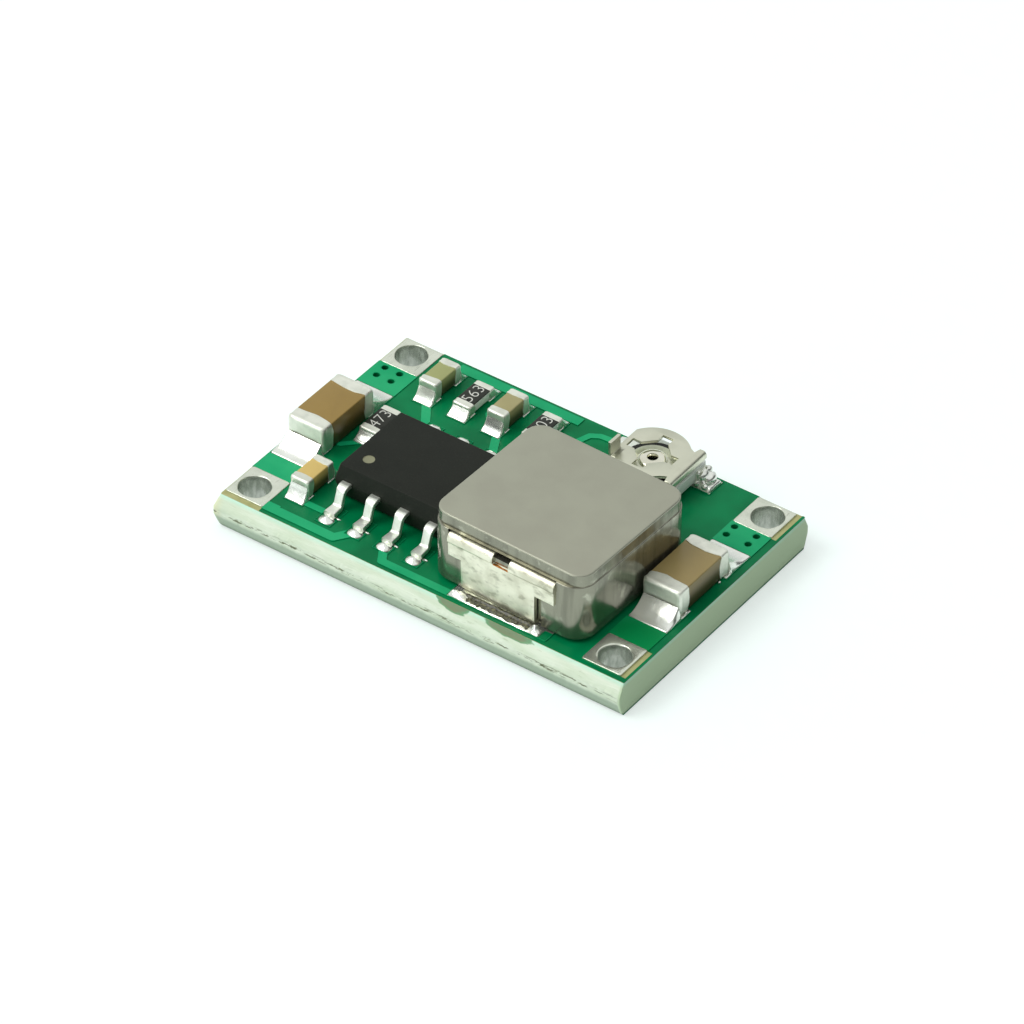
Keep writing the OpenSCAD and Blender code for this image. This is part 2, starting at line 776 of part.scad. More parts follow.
module inductor_core() {
  l = ind_l - 2 * slab_side;
  w = ind_w - 2 * slab_step;
  color("#a6a696")
    difference() {
      at_inductor()
        union() {
          translate([0, 0, ind_z0])
            linear_extrude(part_z - ind_z0)
              rrect(ind_l, ind_w, ind_r);
          translate([0, 0, part_z - e])
            linear_extrude(slab_h + e - slab_bevel)
              rrect(l, w, slab_r);
          // narrow bevel round the top, in two steps
          translate([0, 0, ind_z1 - slab_bevel - e])
            linear_extrude(slab_bevel * 0.6 + e)
              rrect(l - slab_bevel * 0.6, w - slab_bevel * 0.6, slab_r - slab_bevel * 0.3);
          translate([0, 0, ind_z1 - slab_bevel * 0.4 - e])
            linear_extrude(slab_bevel * 0.4 + e)
              rrect(l - slab_bevel * 2, w - slab_bevel * 2, slab_r - slab_bevel);
        }
      // the leg lies in a recess that is wider than the leg on its right
      for (s = [-1, 1])
        on_face(s)
          translate([-clip_leg_w / 2 - 0.02 - clip_leg_shift, -clip_t + 0.02, 0])
            cube([clip_leg_w + clip_room + 0.02, 1, ind_z0 + 0.5 * (part_z - ind_z0) + 0.06]);
      for (s = [-1, 1])
        on_face(s)
          clip();
      // groove that the rolled top enters
      for (s = [-1, 1])
        on_face(s)
          translate([-clip_bar_w / 2 - 0.05, -clip_t, bar_top - 0.02])
            cube([clip_bar_w + 0.1, 1, part_z - bar_top + 0.02]);
    }
}

// a frame whose +Y points out of the front (s = -1) or back face
module on_face(s) {
  at_inductor()
    translate([-clip_shift, s * ind_w / 2, 0])
      mirror([0, s < 0 ? 1 : 0, 0])
        children();
}

// bent sheet terminal: lead out of the groove, over the roll, down the face and under
module clip() {
  yo = clip_out;
  yi = clip_out - clip_t;
  zr = bar_top - clip_r;
  leg_top = bar_top - clip_bar_h;
  difference() {
    union() {
      // upper bar with its rolled top
      translate([-clip_bar_w / 2, 0, 0])
        rotate([90, 0, 90])
          linear_extrude(clip_bar_w)
            clip_roll(yo, yi, zr, leg_top);
      // leg
      translate([-clip_leg_w / 2 - clip_leg_shift, 0, 0])
        rotate([90, 0, 90])
          linear_extrude(clip_leg_w)
            clip_leg(yo, yi, leg_top + e);
    }
    // notch through the roll
    translate([-clip_notch_w / 2, -clip_depth - 0.5, bar_top - clip_notch_h])
      cube([clip_notch_w, clip_depth + 1, clip_notch_h + 1]);
  }
}

module clip_roll(yo, yi, zr, leg_top) {
  translate([yi, leg_top])
    square([clip_t, zr - leg_top + e]);
  translate([yo - clip_r, zr])
    intersection() {
      difference() {
        circle(clip_r);
        circle(clip_r - clip_t);
      }
      square(clip_r + e);
    }
  translate([yo - clip_r - clip_depth, bar_top - clip_t])
    square([clip_depth + e, clip_t]);
}

module clip_leg(yo, yi, top) {
  zb = z_seat;
  translate([yi, zb + clip_r - e])
    square([clip_t, top - zb - clip_r + e]);
  translate([yo - clip_r, zb + clip_r])
    intersection() {
      difference() {
        circle(clip_r);
        circle(clip_r - clip_t);
      }
      translate([0, -clip_r - e])
        square([clip_r + e, clip_r + e]);
    }
  translate([yo - clip_r - clip_foot, zb])
    square([clip_foot + e, clip_t]);
}

module inductor_clip_front() {
  color("#d9d9c6")
    on_face(-1)
      clip();
}

module inductor_clip_back() {
  color("#d9d9c6")
    on_face(1)
      clip();
}

module inductor_solder() {
  color("#d8d8d0")
    for (s = [-1, 1]) {
      d = s < 0 ? ind_pad_out : 0.3;
      translate([clip_x - ind_pad_w / 2, s < 0 ? ind_front - d : ind_back - ind_pad_in, z_cu])
        cube([ind_pad_w, ind_pad_in + d, film_t]);
      on_face(s)
        translate([-clip_leg_w / 2 - 0.3, clip_out, z_seat - e])
          fillet_y(d - 0.2, 0.18, clip_leg_w + 0.6);
    }
}

// ---------- chips ----------

// ceramic block of a capacitor or resistor, between its plated ends
module chip_core(l, w, h) {
  translate([0, 0, band_t])
    rblock(l - 2 * band_t, w - 2 * band_t, h - 2 * band_t, 0.05);
}

// both end bands, plated over the block
module bands(l, w, h, band) {
  difference() {
    rblock(l, w, h, 0.09);
    chip_core(l, w, h);
    translate([-l / 2 + band, -w, -e])
      cube([l - 2 * band, 2 * w, h + 2 * e]);
  }
}

// a chip lies along Y, seated on its solder film
module at_chip(p) {
  translate([p[0], p[1], z_seat])
    rotate(90)
      children();
}

// film on both pads and a fillet against each end
module chip_solder(p, pc, l, w, h, over, len, pw) {
  for (s = [-1, 1]) {
    d = over / 2 + s * (pc[1] - p[1]) - l / 2;
    translate([pc[0] - pw / 2, pc[1] + s * (over - len) / 2 - len / 2, z_cu])
      cube([pw, len, film_t]);
    translate([p[0], p[1] + s * l / 2, z_seat - e])
      to_side(s)
        translate([-w / 2, 0, 0])
          fillet_y(d, h, w);
  }
}

module cap_body(p, l, w, h, c) {
  color(c)
    at_chip(p)
      chip_core(l, w, h);
}

module cap_ends(p, l, w, h, band) {
  color("#dcdccf")
    at_chip(p)
      bands(l, w, h, band);
}

module res_body(p) {
  color("#e9e7df")
    at_chip(p)
      chip_core(chip_l, chip_w, res_h);
}

// black glass over the film, between the two bands
module res_glaze(p) {
  color("#20221f")
    at_chip(p)
      translate([-chip_l / 2 + res_band, -chip_w / 2 + band_t, res_h - band_t])
        cube([chip_l - 2 * res_band, chip_w - 2 * band_t, glaze_t]);
}

cin_p = [cin_x, cin_y];
cout_p = [cout_x, cout_y];
cin_pc = [cin_pad_x, cin_y + big_pad_back];
cout_pc = [cout_pad_x, cout_y + big_pad_back];
solder_c = "#d3d6cd";

module cin_body() { cap_body(cin_p, big_l, big_w, cin_h, "#9b8046"); }
module cin_ends() { cap_ends(cin_p, big_l, big_w, cin_h, big_band); }
module cin_solder() {
  color(solder_c)
    chip_solder(cin_p, cin_pc, big_l, big_w - 0.2, cin_h * 0.5, big_pads, big_pad, big_pad_w);
}

module cout_body() { cap_body(cout_p, big_l, big_w, cout_h, "#8c7855"); }
module cout_ends() { cap_ends(cout_p, big_l, big_w, cout_h, big_band); }
module cout_solder() {
  color(solder_c)
    chip_solder(cout_p, cout_pc, big_l, big_w - 0.2, cout_h * 0.4, big_pads, big_pad, big_pad_w);
}

module small_solder(p, h) {
  color(solder_c)
    chip_solder(p, p, chip_l, chip_w - 0.1, h, chip_pads, chip_pad, chip_w);
}

module cboot_body() { cap_body(cboot_p, chip_l, chip_w, cap_h, "#dcb46c"); }
module cboot_ends() { cap_ends(cboot_p, chip_l, chip_w, cap_h, cap_band); }
module cboot_solder() { small_solder(cboot_p, cap_h * 0.55); }

module ccomp_body() { cap_body(ccomp_p, chip_l, chip_w, cap_h, "#a5a05f"); }
module ccomp_ends() { cap_ends(ccomp_p, chip_l, chip_w, cap_h, cap_band); }
module ccomp_solder() { small_solder(ccomp_p, cap_h * 0.5); }

module cfilt_body() { cap_body(cfilt_p, chip_l, chip_w, cap_h, "#a5916e"); }
module cfilt_ends() { cap_ends(cfilt_p, chip_l, chip_w, cap_h, cap_band); }
module cfilt_solder() { small_solder(cfilt_p, cap_h * 0.5); }

module ren_body() { res_body(ren_p); }
module ren_glaze() { res_glaze(ren_p); }
module ren_ends() { cap_ends(ren_p, chip_l, chip_w, res_h, res_band); }
module ren_solder() { small_solder(ren_p, res_h * 0.7); }

module rcomp_body() { res_body(rcomp_p); }
module rcomp_glaze() { res_glaze(rcomp_p); }
module rcomp_ends() { cap_ends(rcomp_p, chip_l, chip_w, res_h, res_band); }
module rcomp_solder() { small_solder(rcomp_p, res_h * 0.7); }

module rfb_body() { res_body(rfb_p); }
module rfb_glaze() { res_glaze(rfb_p); }
module rfb_ends() { cap_ends(rfb_p, chip_l, chip_w, res_h, res_band); }
module rfb_solder() { small_solder(rfb_p, res_h * 0.7); }

// ---------- trimmer ----------

module at_trimmer() {
  translate([trim_x, trim_y, 0])
    children();
}

module trim_base() {
  color("#e4e8e0")
    at_trimmer()
      difference() {
        translate([0, 0, trim_z0])
          linear_extrude(trim_base_h)
            rrect(trim_l, trim_w, 0.15);
        translate([0, 0, trim_z0 - e])
          cylinder(d = eyelet_d, h = trim_base_h + 2 * e);
      }
}

// horseshoe of resistive film, open towards the front
module trim_track() {
  color("#2a2a28")
    at_trimmer()
      translate([0, 0, trim_z1])
        rotate(-90 + (360 - track_deg) / 2)
          rotate_extrude(angle = track_deg)
            translate([track_r - track_w / 2, 0])
              square([track_w, track_t]);
}

// sheet feet at both ends, turned up against the base
module trim_end_terminals() {
  color("#d0d2c8")
    at_trimmer()
      for (s = [-1, 1])
        translate([0, trim_term_y, 0])
          mirror([s < 0 ? 1 : 0, 0, 0]) {
            translate([trim_l / 2 - trim_term_in, -trim_term_w / 2, z_seat])
              cube([trim_term_l + trim_term_in, trim_term_w, trim_term_t]);
            translate([trim_l / 2, -trim_term_w / 2, z_seat])
              cube([trim_term_t, trim_term_w, trim_term_t + trim_term_h]);
          }
}

// strip from the eyelet to the front pad
module trim_wiper_terminal() {
  color("#d0d2c8")
    at_trimmer()
      translate([0, 0, z_seat])
        linear_extrude(trim_term_t)
          difference() {
            union() {
              circle(d = wiper_w);
              translate([-wiper_w / 2, -trim_w / 2 - trim_term_l])
                square([wiper_w, trim_w / 2 + trim_term_l]);
            }
            circle(d = eyelet_bore);
          }
}

// tubular rivet: shank through base and rotor, domed head above the lower leaf
module trim_eyelet() {
  h0 = rotor_z0 + rotor_t + rotor_lift;
  color("#dfe0d6")
    at_trimmer()
      difference() {
        union() {
          translate([0, 0, trim_z0])
            cylinder(d = eyelet_d, h = h0 - trim_z0 + e);
          translate([0, 0, h0])
            rotate_extrude()
              intersection() {
                translate([0, eyelet_head_d * 0.3 - eyelet_head_d / 2])
                  circle(d = eyelet_head_d);
                square([eyelet_head_d, eyelet_head_d]);
              }
        }
        translate([0, 0, trim_z0 - e])
          cylinder(d = eyelet_bore, h = 2);
      }
}

module drive_slot_2d() {
  square([slot_l, slot_w], center = true);
  square([slot_w, slot_l], center = true);
  rotate(45)
    square(slot_d * 0.72, center = true);
}

// one folded sheet: driven upper leaf, fold at +X, lower leaf with the wiper dimple
module trim_rotor() {
  rf = rotor_h / 2;
  color("#d2d2c4")
    at_trimmer() {
      // upper leaf
      translate([0, 0, rotor_z1 - rotor_t])
        linear_extrude(rotor_t)
          difference() {
            intersection() {
              union() {
                circle(rotor_r);
                translate([0, -rotor_fold_w / 2])
                  square([rotor_fold - rf, rotor_fold_w]);
              }
              translate([-rotor_flat, -rotor_r])
                square([rotor_flat + rotor_fold - rf, 2 * rotor_r]);
            }
            drive_slot_2d();
          }
      // dimple that rides on the track
      translate([track_r, 0, rotor_z0 - rotor_lift + 0.01])
        cylinder(d = 0.3, h = rotor_lift);
      // fold
      translate([rotor_fold - rf - e, rotor_fold_w / 2, rotor_z0 + rf])
        rotate([90, 0, 0])
          linear_extrude(rotor_fold_w)
            intersection() {
              difference() {
                circle(rf);
                circle(rf - rotor_t);
              }
              translate([0, -rf])
                square([rf, 2 * rf]);
            }
      // lower leaf
      translate([0, 0, rotor_z0])
        linear_extrude(rotor_t)
          difference() {
            union() {
              circle(rotor_r * 0.62);
              translate([0, -rotor_r * 0.5])
                square([rotor_fold - rf, rotor_r]);
            }
            circle(d = eyelet_d + 2 * rotor_clear);
          }
      // raised stop tab on the flat side
      translate([-rotor_flat, -rotor_r * 0.55 - stop_l / 2, rotor_z1 - rotor_t])
        cube([rotor_t, stop_l, stop_h + rotor_t]);
    }
}

module trim_solder() {
  color(solder_c)
    at_trimmer() {
      for (s = [-1, 1])
        translate([s * trim_pad_x, trim_term_y, z_cu])
          linear_extrude(film_t)
            square(trim_pad, center = true);
      translate([0, wiper_pad_y, z_cu])
        linear_extrude(film_t)
          square(wiper_pad, center = true);
      for (s = [-1, 1])
        translate([0, trim_term_y, z_seat + trim_term_t])
          mirror([s < 0 ? 1 : 0, 0, 0])
            translate([trim_l / 2 + trim_term_t, trim_term_w / 2, 0])
              rotate(-90)
                fillet_y(trim_term_l - trim_term_t, trim_fillet, trim_term_w);
    }
}

// ---------- drawing ----------

laminate();
top_copper();
top_mask();
bottom_copper();
bottom_mask();
vias();
corner_in_pos();
corner_in_neg();
corner_out_pos();
corner_out_neg();
ic_body();
ic_leads();
ic_solder();
inductor_core();
inductor_clip_front();
inductor_clip_back();
inductor_solder();
cin_body();
cin_ends();
cin_solder();
cout_body();
cout_ends();
cout_solder();
cboot_body();
cboot_ends();
cboot_solder();
ccomp_body();
ccomp_ends();
ccomp_solder();
cfilt_body();
cfilt_ends();
cfilt_solder();
ren_body();
ren_glaze();
ren_ends();
ren_solder();
rcomp_body();
rcomp_glaze();
rcomp_ends();
rcomp_solder();
rfb_body();
rfb_glaze();
rfb_ends();
rfb_solder();
trim_base();
trim_track();
trim_end_terminals();
trim_wiper_terminal();
trim_eyelet();
trim_rotor();
trim_solder();
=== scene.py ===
"""Looks of a small step-down converter module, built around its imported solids.

Every length in the classes is in millimetres, and MM turns it to metres. Places come from the
boxes of the solids, in the frame of the solids: +X along the board, +Z out of its top.
"""

import json
import logging
from contextlib import contextmanager
from dataclasses import dataclass, field
from enum import Enum
from math import acos, asin, atan2, ceil, copysign, cos, degrees
from math import exp, hypot, pi, radians, sin, sqrt, tan
from typing import Callable, Iterable, Iterator, Sequence

import bmesh
import bpy
from mathutils import Matrix, Vector, noise

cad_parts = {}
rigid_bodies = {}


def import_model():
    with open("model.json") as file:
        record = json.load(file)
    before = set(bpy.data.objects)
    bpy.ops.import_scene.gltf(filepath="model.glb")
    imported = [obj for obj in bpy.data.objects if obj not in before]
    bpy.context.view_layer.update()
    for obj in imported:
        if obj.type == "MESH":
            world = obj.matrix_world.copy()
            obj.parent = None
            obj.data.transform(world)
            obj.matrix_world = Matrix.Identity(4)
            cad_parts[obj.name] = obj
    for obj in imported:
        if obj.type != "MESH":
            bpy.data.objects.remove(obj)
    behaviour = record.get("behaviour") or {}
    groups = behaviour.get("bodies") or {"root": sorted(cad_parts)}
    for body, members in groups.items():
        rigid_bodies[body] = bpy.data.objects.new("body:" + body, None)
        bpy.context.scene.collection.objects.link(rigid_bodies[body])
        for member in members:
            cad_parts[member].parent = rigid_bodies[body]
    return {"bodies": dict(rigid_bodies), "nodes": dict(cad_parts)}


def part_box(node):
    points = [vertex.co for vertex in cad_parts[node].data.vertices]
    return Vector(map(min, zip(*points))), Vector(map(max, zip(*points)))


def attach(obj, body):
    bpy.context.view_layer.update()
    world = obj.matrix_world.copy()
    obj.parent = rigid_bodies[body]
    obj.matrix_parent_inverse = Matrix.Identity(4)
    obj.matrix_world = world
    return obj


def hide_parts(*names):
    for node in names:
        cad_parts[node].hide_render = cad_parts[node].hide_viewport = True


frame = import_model()

LOG = logging.getLogger("converter")
MM = 0.001
# corners closer than this, in metres, are one
WELD = 2e-7
# solder stays smooth where it turns less than this
SMOOTH_DEG = 60.0
BOARD = "board"
ROTOR = "rotor"
Point = tuple[float, float, float]
Flat = tuple[float, float]
Ring = list[Point]
Tree = bpy.types.NodeTree
Node = bpy.types.Node
Socket = bpy.types.NodeSocket
Mesh = bpy.types.Mesh
Mapping = Callable[[float, float, float], Point]
Height = Callable[[float, float], float]
# what the points and the bent line of the leads carry
LEAD_ATTRIBUTES = ("turn", "place", "waist")


class Side(Enum):
    """The two sides that a mirrored pair of pieces faces."""

    MINUS = -1
    PLUS = 1


# ---------- colours and nodes ----------


def linear(code: str) -> tuple[float, float, float, float]:
    """Turns an sRGB hex colour to linear light.

    Args:
        code: six hex digits, with or without a leading #.

    Returns:
        Red, green, blue and an alpha of 1.
    """
    parts = [int(code.lstrip("#")[i : i + 2], 16) / 255 for i in (0, 2, 4)]
    lin = [c / 12.92 if c <= 0.04045 else ((c + 0.055) / 1.055) ** 2.4 for c in parts]
    return lin[0], lin[1], lin[2], 1.0


def add(
    tree: Tree, kind: str, links: dict[int | str, object] | None = None, **settings: object
) -> Node:
    """Adds a node with its settings and links.

    Args:
        tree: the node tree that takes the node.
        kind: the node's Blender type.
        links: socket name or number to a socket to link from, or to a plain value.
        settings: properties of the node itself.

    Returns:
        The new node.
    """
    node = tree.nodes.new(kind)
    for name, value in settings.items():
        setattr(node, name, value)
    for key, value in (links or {}).items():
        if isinstance(value, Socket):
            tree.links.new(value, node.inputs[key])
        else:
            node.inputs[key].default_value = value
    return node


@dataclass(frozen=True)
class Artwork:
    """Lays patterns in a node tree over one set of coordinates. Lengths are in millimetres."""

    tree: Tree
    at: Socket

    def noise(self, size: float, detail: float = 3.0, stretch: Point = (1.0, 1.0, 1.0)) -> Socket:
        """Adds a noise of a real size.

        Args:
            size: size of its grains.
            detail: octaves of finer noise.
            stretch: factors on the size, along each axis.

        Returns:
            The socket of its value.
        """
        scale = tuple(1 / (size * MM * s) for s in stretch)
        placed = add(self.tree, "ShaderNodeMapping", {"Vector": self.at, "Scale": scale})
        links = {"Vector": placed.outputs[0], "Scale": 1.0, "Detail": detail}
        return add(self.tree, "ShaderNodeTexNoise", links).outputs["Fac"]

    def bump(self, height: Socket, depth: float, strength: float) -> Socket:
        """Adds a bump of a real depth, shown at a strength, and returns its normal."""
        links = {"Height": height, "Distance": depth * MM, "Strength": strength}
        return add(self.tree, "ShaderNodeBump", links).outputs[0]

    def step(self, value: Socket, low: float, high: float) -> Socket:
        """Adds a smooth step from 0 at low to 1 at high and returns its socket."""
        links = {"Value": value, "From Min": low, "From Max": high}
        smooth = {"interpolation_type": "SMOOTHSTEP"}
        return add(self.tree, "ShaderNodeMapRange", links, **smooth).outputs[0]

    def axis(self, number: int) -> Socket:
        """Adds one of the three coordinates and returns its socket."""
        return add(self.tree, "ShaderNodeSeparateXYZ", {0: self.at}).outputs[number]

    def level(self, low: float, high: float, axis: int = 2) -> Socket:
        """Adds a smooth step between two places on an axis and returns its socket."""
        return self.step(self.axis(axis), low * MM, high * MM)

    def scaled(self, value: Socket, low: float, high: float) -> Socket:
        """Adds a straight map of 0 and 1 onto low and high and returns its socket."""
        links = {"Value": value, "To Min": low, "To Max": high}
        return add(self.tree, "ShaderNodeMapRange", links).outputs[0]

    def mix(self, share: object, first: object, second: object) -> Socket:
        """Mixes two colours.

        Args:
            share: socket or number, the share of the second colour.
            first: socket or hex colour.
            second: socket or hex colour.

        Returns:
            The socket of the mixed colour.
        """
        ends = [linear(c) if isinstance(c, str) else c for c in (first, second)]
        links = {0: share, 6: ends[0], 7: ends[1]}
        return add(self.tree, "ShaderNodeMix", links, data_type="RGBA").outputs[2]

    def math(self, operation: str, first: object, second: object = 0.0) -> Socket:
        """Adds one sum on two sockets or numbers and returns its socket."""
        links = {0: first, 1: second}
        return add(self.tree, "ShaderNodeMath", links, operation=operation).outputs[0]

    def times(self, first: object, second: object) -> Socket:
        """Adds a product of two sockets or numbers and returns its socket."""
        return self.math("MULTIPLY", first, second)

    def far(self, location: Point, scale: Point) -> Socket:
        """Adds the distance from the origin of moved and scaled coordinates.

        Args:
            location: how far the coordinates move, after the scaling.
            scale: factor along each axis.

        Returns:
            The socket of the distance.
        """
        links = {"Vector": self.at, "Location": location, "Scale": scale}
        placed = add(self.tree, "ShaderNodeMapping", links)
        made = add(self.tree, "ShaderNodeVectorMath", {0: placed.outputs[0]}, operation="LENGTH")
        return made.outputs["Value"]

    def spot(self, centre: Point, reach: Point) -> Socket:
        """Adds a soft ellipsoid: 1 at its centre, 0 at its surface and beyond.

        Args:
            centre: its middle.
            reach: its half sizes.

        Returns:
            The socket of the mask.
        """
        place = tuple(-c / r for c, r in zip(centre, reach))
        return self.step(self.far(place, tuple(1 / (r * MM) for r in reach)), 1.0, 0.25)

    def surface(
        self, colour: Socket, normal: Socket, roughness: object, more: dict[str, object]
    ) -> Node:
        """Adds the surface shader.

        Args:
            colour: socket of the base colour.
            normal: socket of the normal.
            roughness: socket or number.
            more: further inputs by name.

        Returns:
            The shader node.
        """
        links = {"Base Color": colour, "Normal": normal, "Roughness": roughness}
        return add(self.tree, "ShaderNodeBsdfPrincipled", {**links, **more})


@dataclass(frozen=True)
class Finish:
    """A finish made by one process; subclasses paint it."""

    name: str

    def paint(self, art: Artwork) -> Node:
        """Builds the surface shader. Replaced by each finish.

        Args:
            art: the material's artwork, on Object coordinates.

        Returns:
            The node whose first output is the surface.
        """
        raise NotImplementedError

    def material(self) -> bpy.types.Material:
        """Makes the material once and returns it."""
        made = bpy.data.materials.get(self.name)
        if made is not None:
            return made
        made = bpy.data.materials.new(self.name)
        made.use_nodes = True
        tree = made.node_tree
        tree.nodes.clear()
        surface = self.paint(Artwork(tree, add(tree, "ShaderNodeTexCoord").outputs["Object"]))
        add(tree, "ShaderNodeOutputMaterial", {"Surface": surface.outputs[0]})
        return made


# ---------- meshes ----------


@dataclass(frozen=True)
class Box:
    """The box of one of the solids, in millimetres."""

    lo: Point
    hi: Point

    @classmethod
    def of(cls, node: str) -> "Box":
        """Reads the box of a named solid."""
        low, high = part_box(node)
        return cls(tuple(c / MM for c in low), tuple(c / MM for c in high))

    @property
    def mid(self) -> Point:
        """The middle of the box."""
        return tuple((a + b) / 2 for a, b in zip(self.lo, self.hi))

    @property
    def size(self) -> Point:
        """The three side lengths."""
        return tuple(b - a for a, b in zip(self.lo, self.hi))

    def end(self, side: Side, axis: int = 1) -> float:
        """The box's face on a side of an axis."""
        return (self.hi if side is Side.PLUS else self.lo)[axis]


@dataclass
class Shape:
    """A mesh under construction: corners in millimetres and faces."""

    verts: list[Point] = field(default_factory=list)
    faces: list[tuple[int, ...]] = field(default_factory=list)

    def join(self, other: "Shape") -> "Shape":
        """Takes in another shape and returns self."""
        base = len(self.verts)
        self.verts += other.verts
        self.faces += [tuple(i + base for i in f) for f in other.faces]
        return self

    def moved(self, change: Callable[[Vector], Vector]) -> "Shape":
        """Returns a copy with every corner moved by a function."""
        return Shape([tuple(change(Vector(v))) for v in self.verts], list(self.faces))

    @classmethod
    def loft(cls, rings: Sequence[Ring], closed: bool = False) -> "Shape":
        """Joins rings of equal length into a skin.

        Args:
            rings: the rings, in order.
            closed: joins the last ring to the first; otherwise both ends are capped.

        Returns:
            The shape.
        """
        count = len(rings[0])
        made = cls([p for ring in rings for p in ring])
        spans = len(rings) if closed else len(rings) - 1
        for k in range(spans):
            a, b = k * count, (k + 1) % len(rings) * count
            for i in range(count):
                j = (i + 1) % count
                made.faces.append((a + i, a + j, b + j, b + i))
        if not closed:
            last = (len(rings) - 1) * count
            made.faces.append(tuple(range(count - 1, -1, -1)))
            made.faces.append(tuple(range(last, last + count)))
        return made


def sheet_noise(x: float, y: float, z: float, size: float) -> float:
    """A fixed smooth noise from -1 to 1 with a real size in millimetres."""
    return noise.noise(Vector((x / size, y / size, z / size)))


def outline(length: float, width: float, radius: float, bend: int = 6, run: int = 4) -> list[Flat]:
    """A rounded rectangle round the origin, anticlockwise from the first corner.

    Args:
        length: size along the first axis.
        width: size along the second axis.
        radius: corner radius.
        bend: steps in each corner.
        run: steps in each straight side.

    Returns:
        The points.
    """
    r = min(radius, length / 2, width / 2)
    a, b = length / 2 - r, width / 2 - r
    centres = ((a, b), (-a, b), (-a, -b), (a, -b))
    points = []
    for k, (cx, cy) in enumerate(centres):
        for i in range(bend + 1):
            turn = pi / 2 * (k + i / bend)
            points.append((cx + r * cos(turn), cy + r * sin(turn)))
        nx, ny = centres[(k + 1) % 4]
        x0, y0 = points[-1]
        x1, y1 = nx + r * cos(turn), ny + r * sin(turn)
        points += [(x0 + (x1 - x0) * i / run, y0 + (y1 - y0) * i / run) for i in range(1, run)]
    return points


def level_ring(
    size: Flat, radius: float, z: float, centre: Flat = (0.0, 0.0), bend: int = 6, run: int = 4
) -> Ring:
    """A level rounded rectangle at a height, about a centre."""
    return [(centre[0] + x, centre[1] + y, z) for x, y in outline(*size, radius, bend, run)]


def edge_steps(radius: float, steps: int) -> list[Flat]:
    """Inset and rise of the rings in a quarter-round edge, from the flat face outwards."""
    turns = [pi / 2 * k / steps for k in range(steps + 1)]
    return [(radius * (1 - sin(t)), radius * (1 - cos(t))) for t in turns]


def eased(low: float, high: float, radius: float, steps: int) -> tuple[list[Flat], list[Flat]]:
    """Inset and height of the rings in the lower and the upper quarter-round edge of a block."""
    edge = edge_steps(radius, steps)
    return [(i, low + up) for i, up in edge], [(i, high - up) for i, up in reversed(edge)]


def stacked(
    size: Flat,
    centre: Flat,
    levels: Sequence[Flat],
    corner: Callable[[float], float],
    steps: tuple[int, int],
) -> Shape:
    """Joins level rounded rectangles to a block.

    Args:
        size: length and width where there is no inset.
        centre: the middle of the rectangles.
        levels: inset and height of each, upwards.
        corner: gives the corner radius for an inset.
        steps: steps in each corner and in each straight side.

    Returns:
        The shape.
    """
    rings = []
    for inset, z in levels:
        flat = (size[0] - 2 * inset, size[1] - 2 * inset)
        rings.append(level_ring(flat, corner(inset), z, centre, *steps))
    return Shape.loft(rings)


def rounded_block(lo: Point, hi: Point, radius: float, steps: int = 4) -> Shape:
    """A block with all its edges rounded.

    Args:
        lo: its lowest corner.
        hi: its highest corner.
        radius: radius of every edge.
        steps: rings in each rounded edge.

    Returns:
        The shape.
    """
    size = (hi[0] - lo[0], hi[1] - lo[1])
    mid = ((hi[0] + lo[0]) / 2, (hi[1] + lo[1]) / 2)
    lower, upper = eased(lo[2], hi[2], radius, steps)
    return stacked(
        size, mid, lower + upper, lambda inset: max(radius * 1.15 - inset, 0.008), (steps, 4)
    )


def lathe(profile: Sequence[Flat], centre: Point, count: int = 72) -> Shape:
    """Turns a closed profile round a vertical axis.

    Args:
        profile: radius and height of each point, in order round the section.
        centre: foot of the axis.
        count: steps round the axis.

    Returns:
        A closed shape.
    """
    turns = [2 * pi * k / count for k in range(count)]
    rings = [
        [(centre[0] + r * cos(t), centre[1] + r * sin(t), centre[2] + z) for t in turns]
        for r, z in profile
    ]
    return Shape.loft(rings, closed=True)


def bent(corners: Sequence[Flat], radii: Sequence[float], steps: int = 8) -> list[Flat]:
    """Rounds the inner corners of a flat line.

    Args:
        corners: the line's corners.
        radii: a radius for each inner corner.
        steps: steps in each bend.

    Returns:
        The rounded line.
    """
    line = [tuple(corners[0])]
    for before, here, after, radius in zip(corners, corners[1:], corners[2:], radii):
        at = Vector(here)
        back, ahead = (Vector(before) - at).normalized(), (Vector(after) - at).normalized()
        half = back.angle(ahead) / 2
        centre = at + (back + ahead).normalized() * (radius / sin(half))
        start = at + back * (radius / tan(half)) - centre
        end = at + ahead * (radius / tan(half)) - centre
        first = atan2(start.y, start.x)
        swing = atan2(end.y, end.x) - first
        swing = (swing + pi) % (2 * pi) - pi
        for k in range(steps + 1):
            turn = first + swing * k / steps
            line.append((centre.x + radius * cos(turn), centre.y + radius * sin(turn)))
    line.append(tuple(corners[-1]))
    return line


def strip(
    line: Sequence[Flat], width: float, thickness: float, place: Mapping, edge: float = 0.025
) -> Shape:
    """Sweeps a sheet-metal section along a bent line.

    Args:
        line: the middle of the sheet, in the plane of the bends.
        width: the sheet's width, across that plane.
        thickness: the sheet's thickness.
        place: turns a place (along, across, height) to a point.
        edge: radius of the section's corners.

    Returns:
        The shape.
    """
    section = outline(width, thickness, edge, bend=3, run=2)
    rings = []
    for k, (u, v) in enumerate(line):
        before, after = Vector(line[max(k - 1, 0)]), Vector(line[min(k + 1, len(line) - 1)])
        ahead = (after - before).normalized()
        rings.append([place(u - ahead.y * t, w, v + ahead.x * t) for w, t in section])
    return Shape.loft(rings)


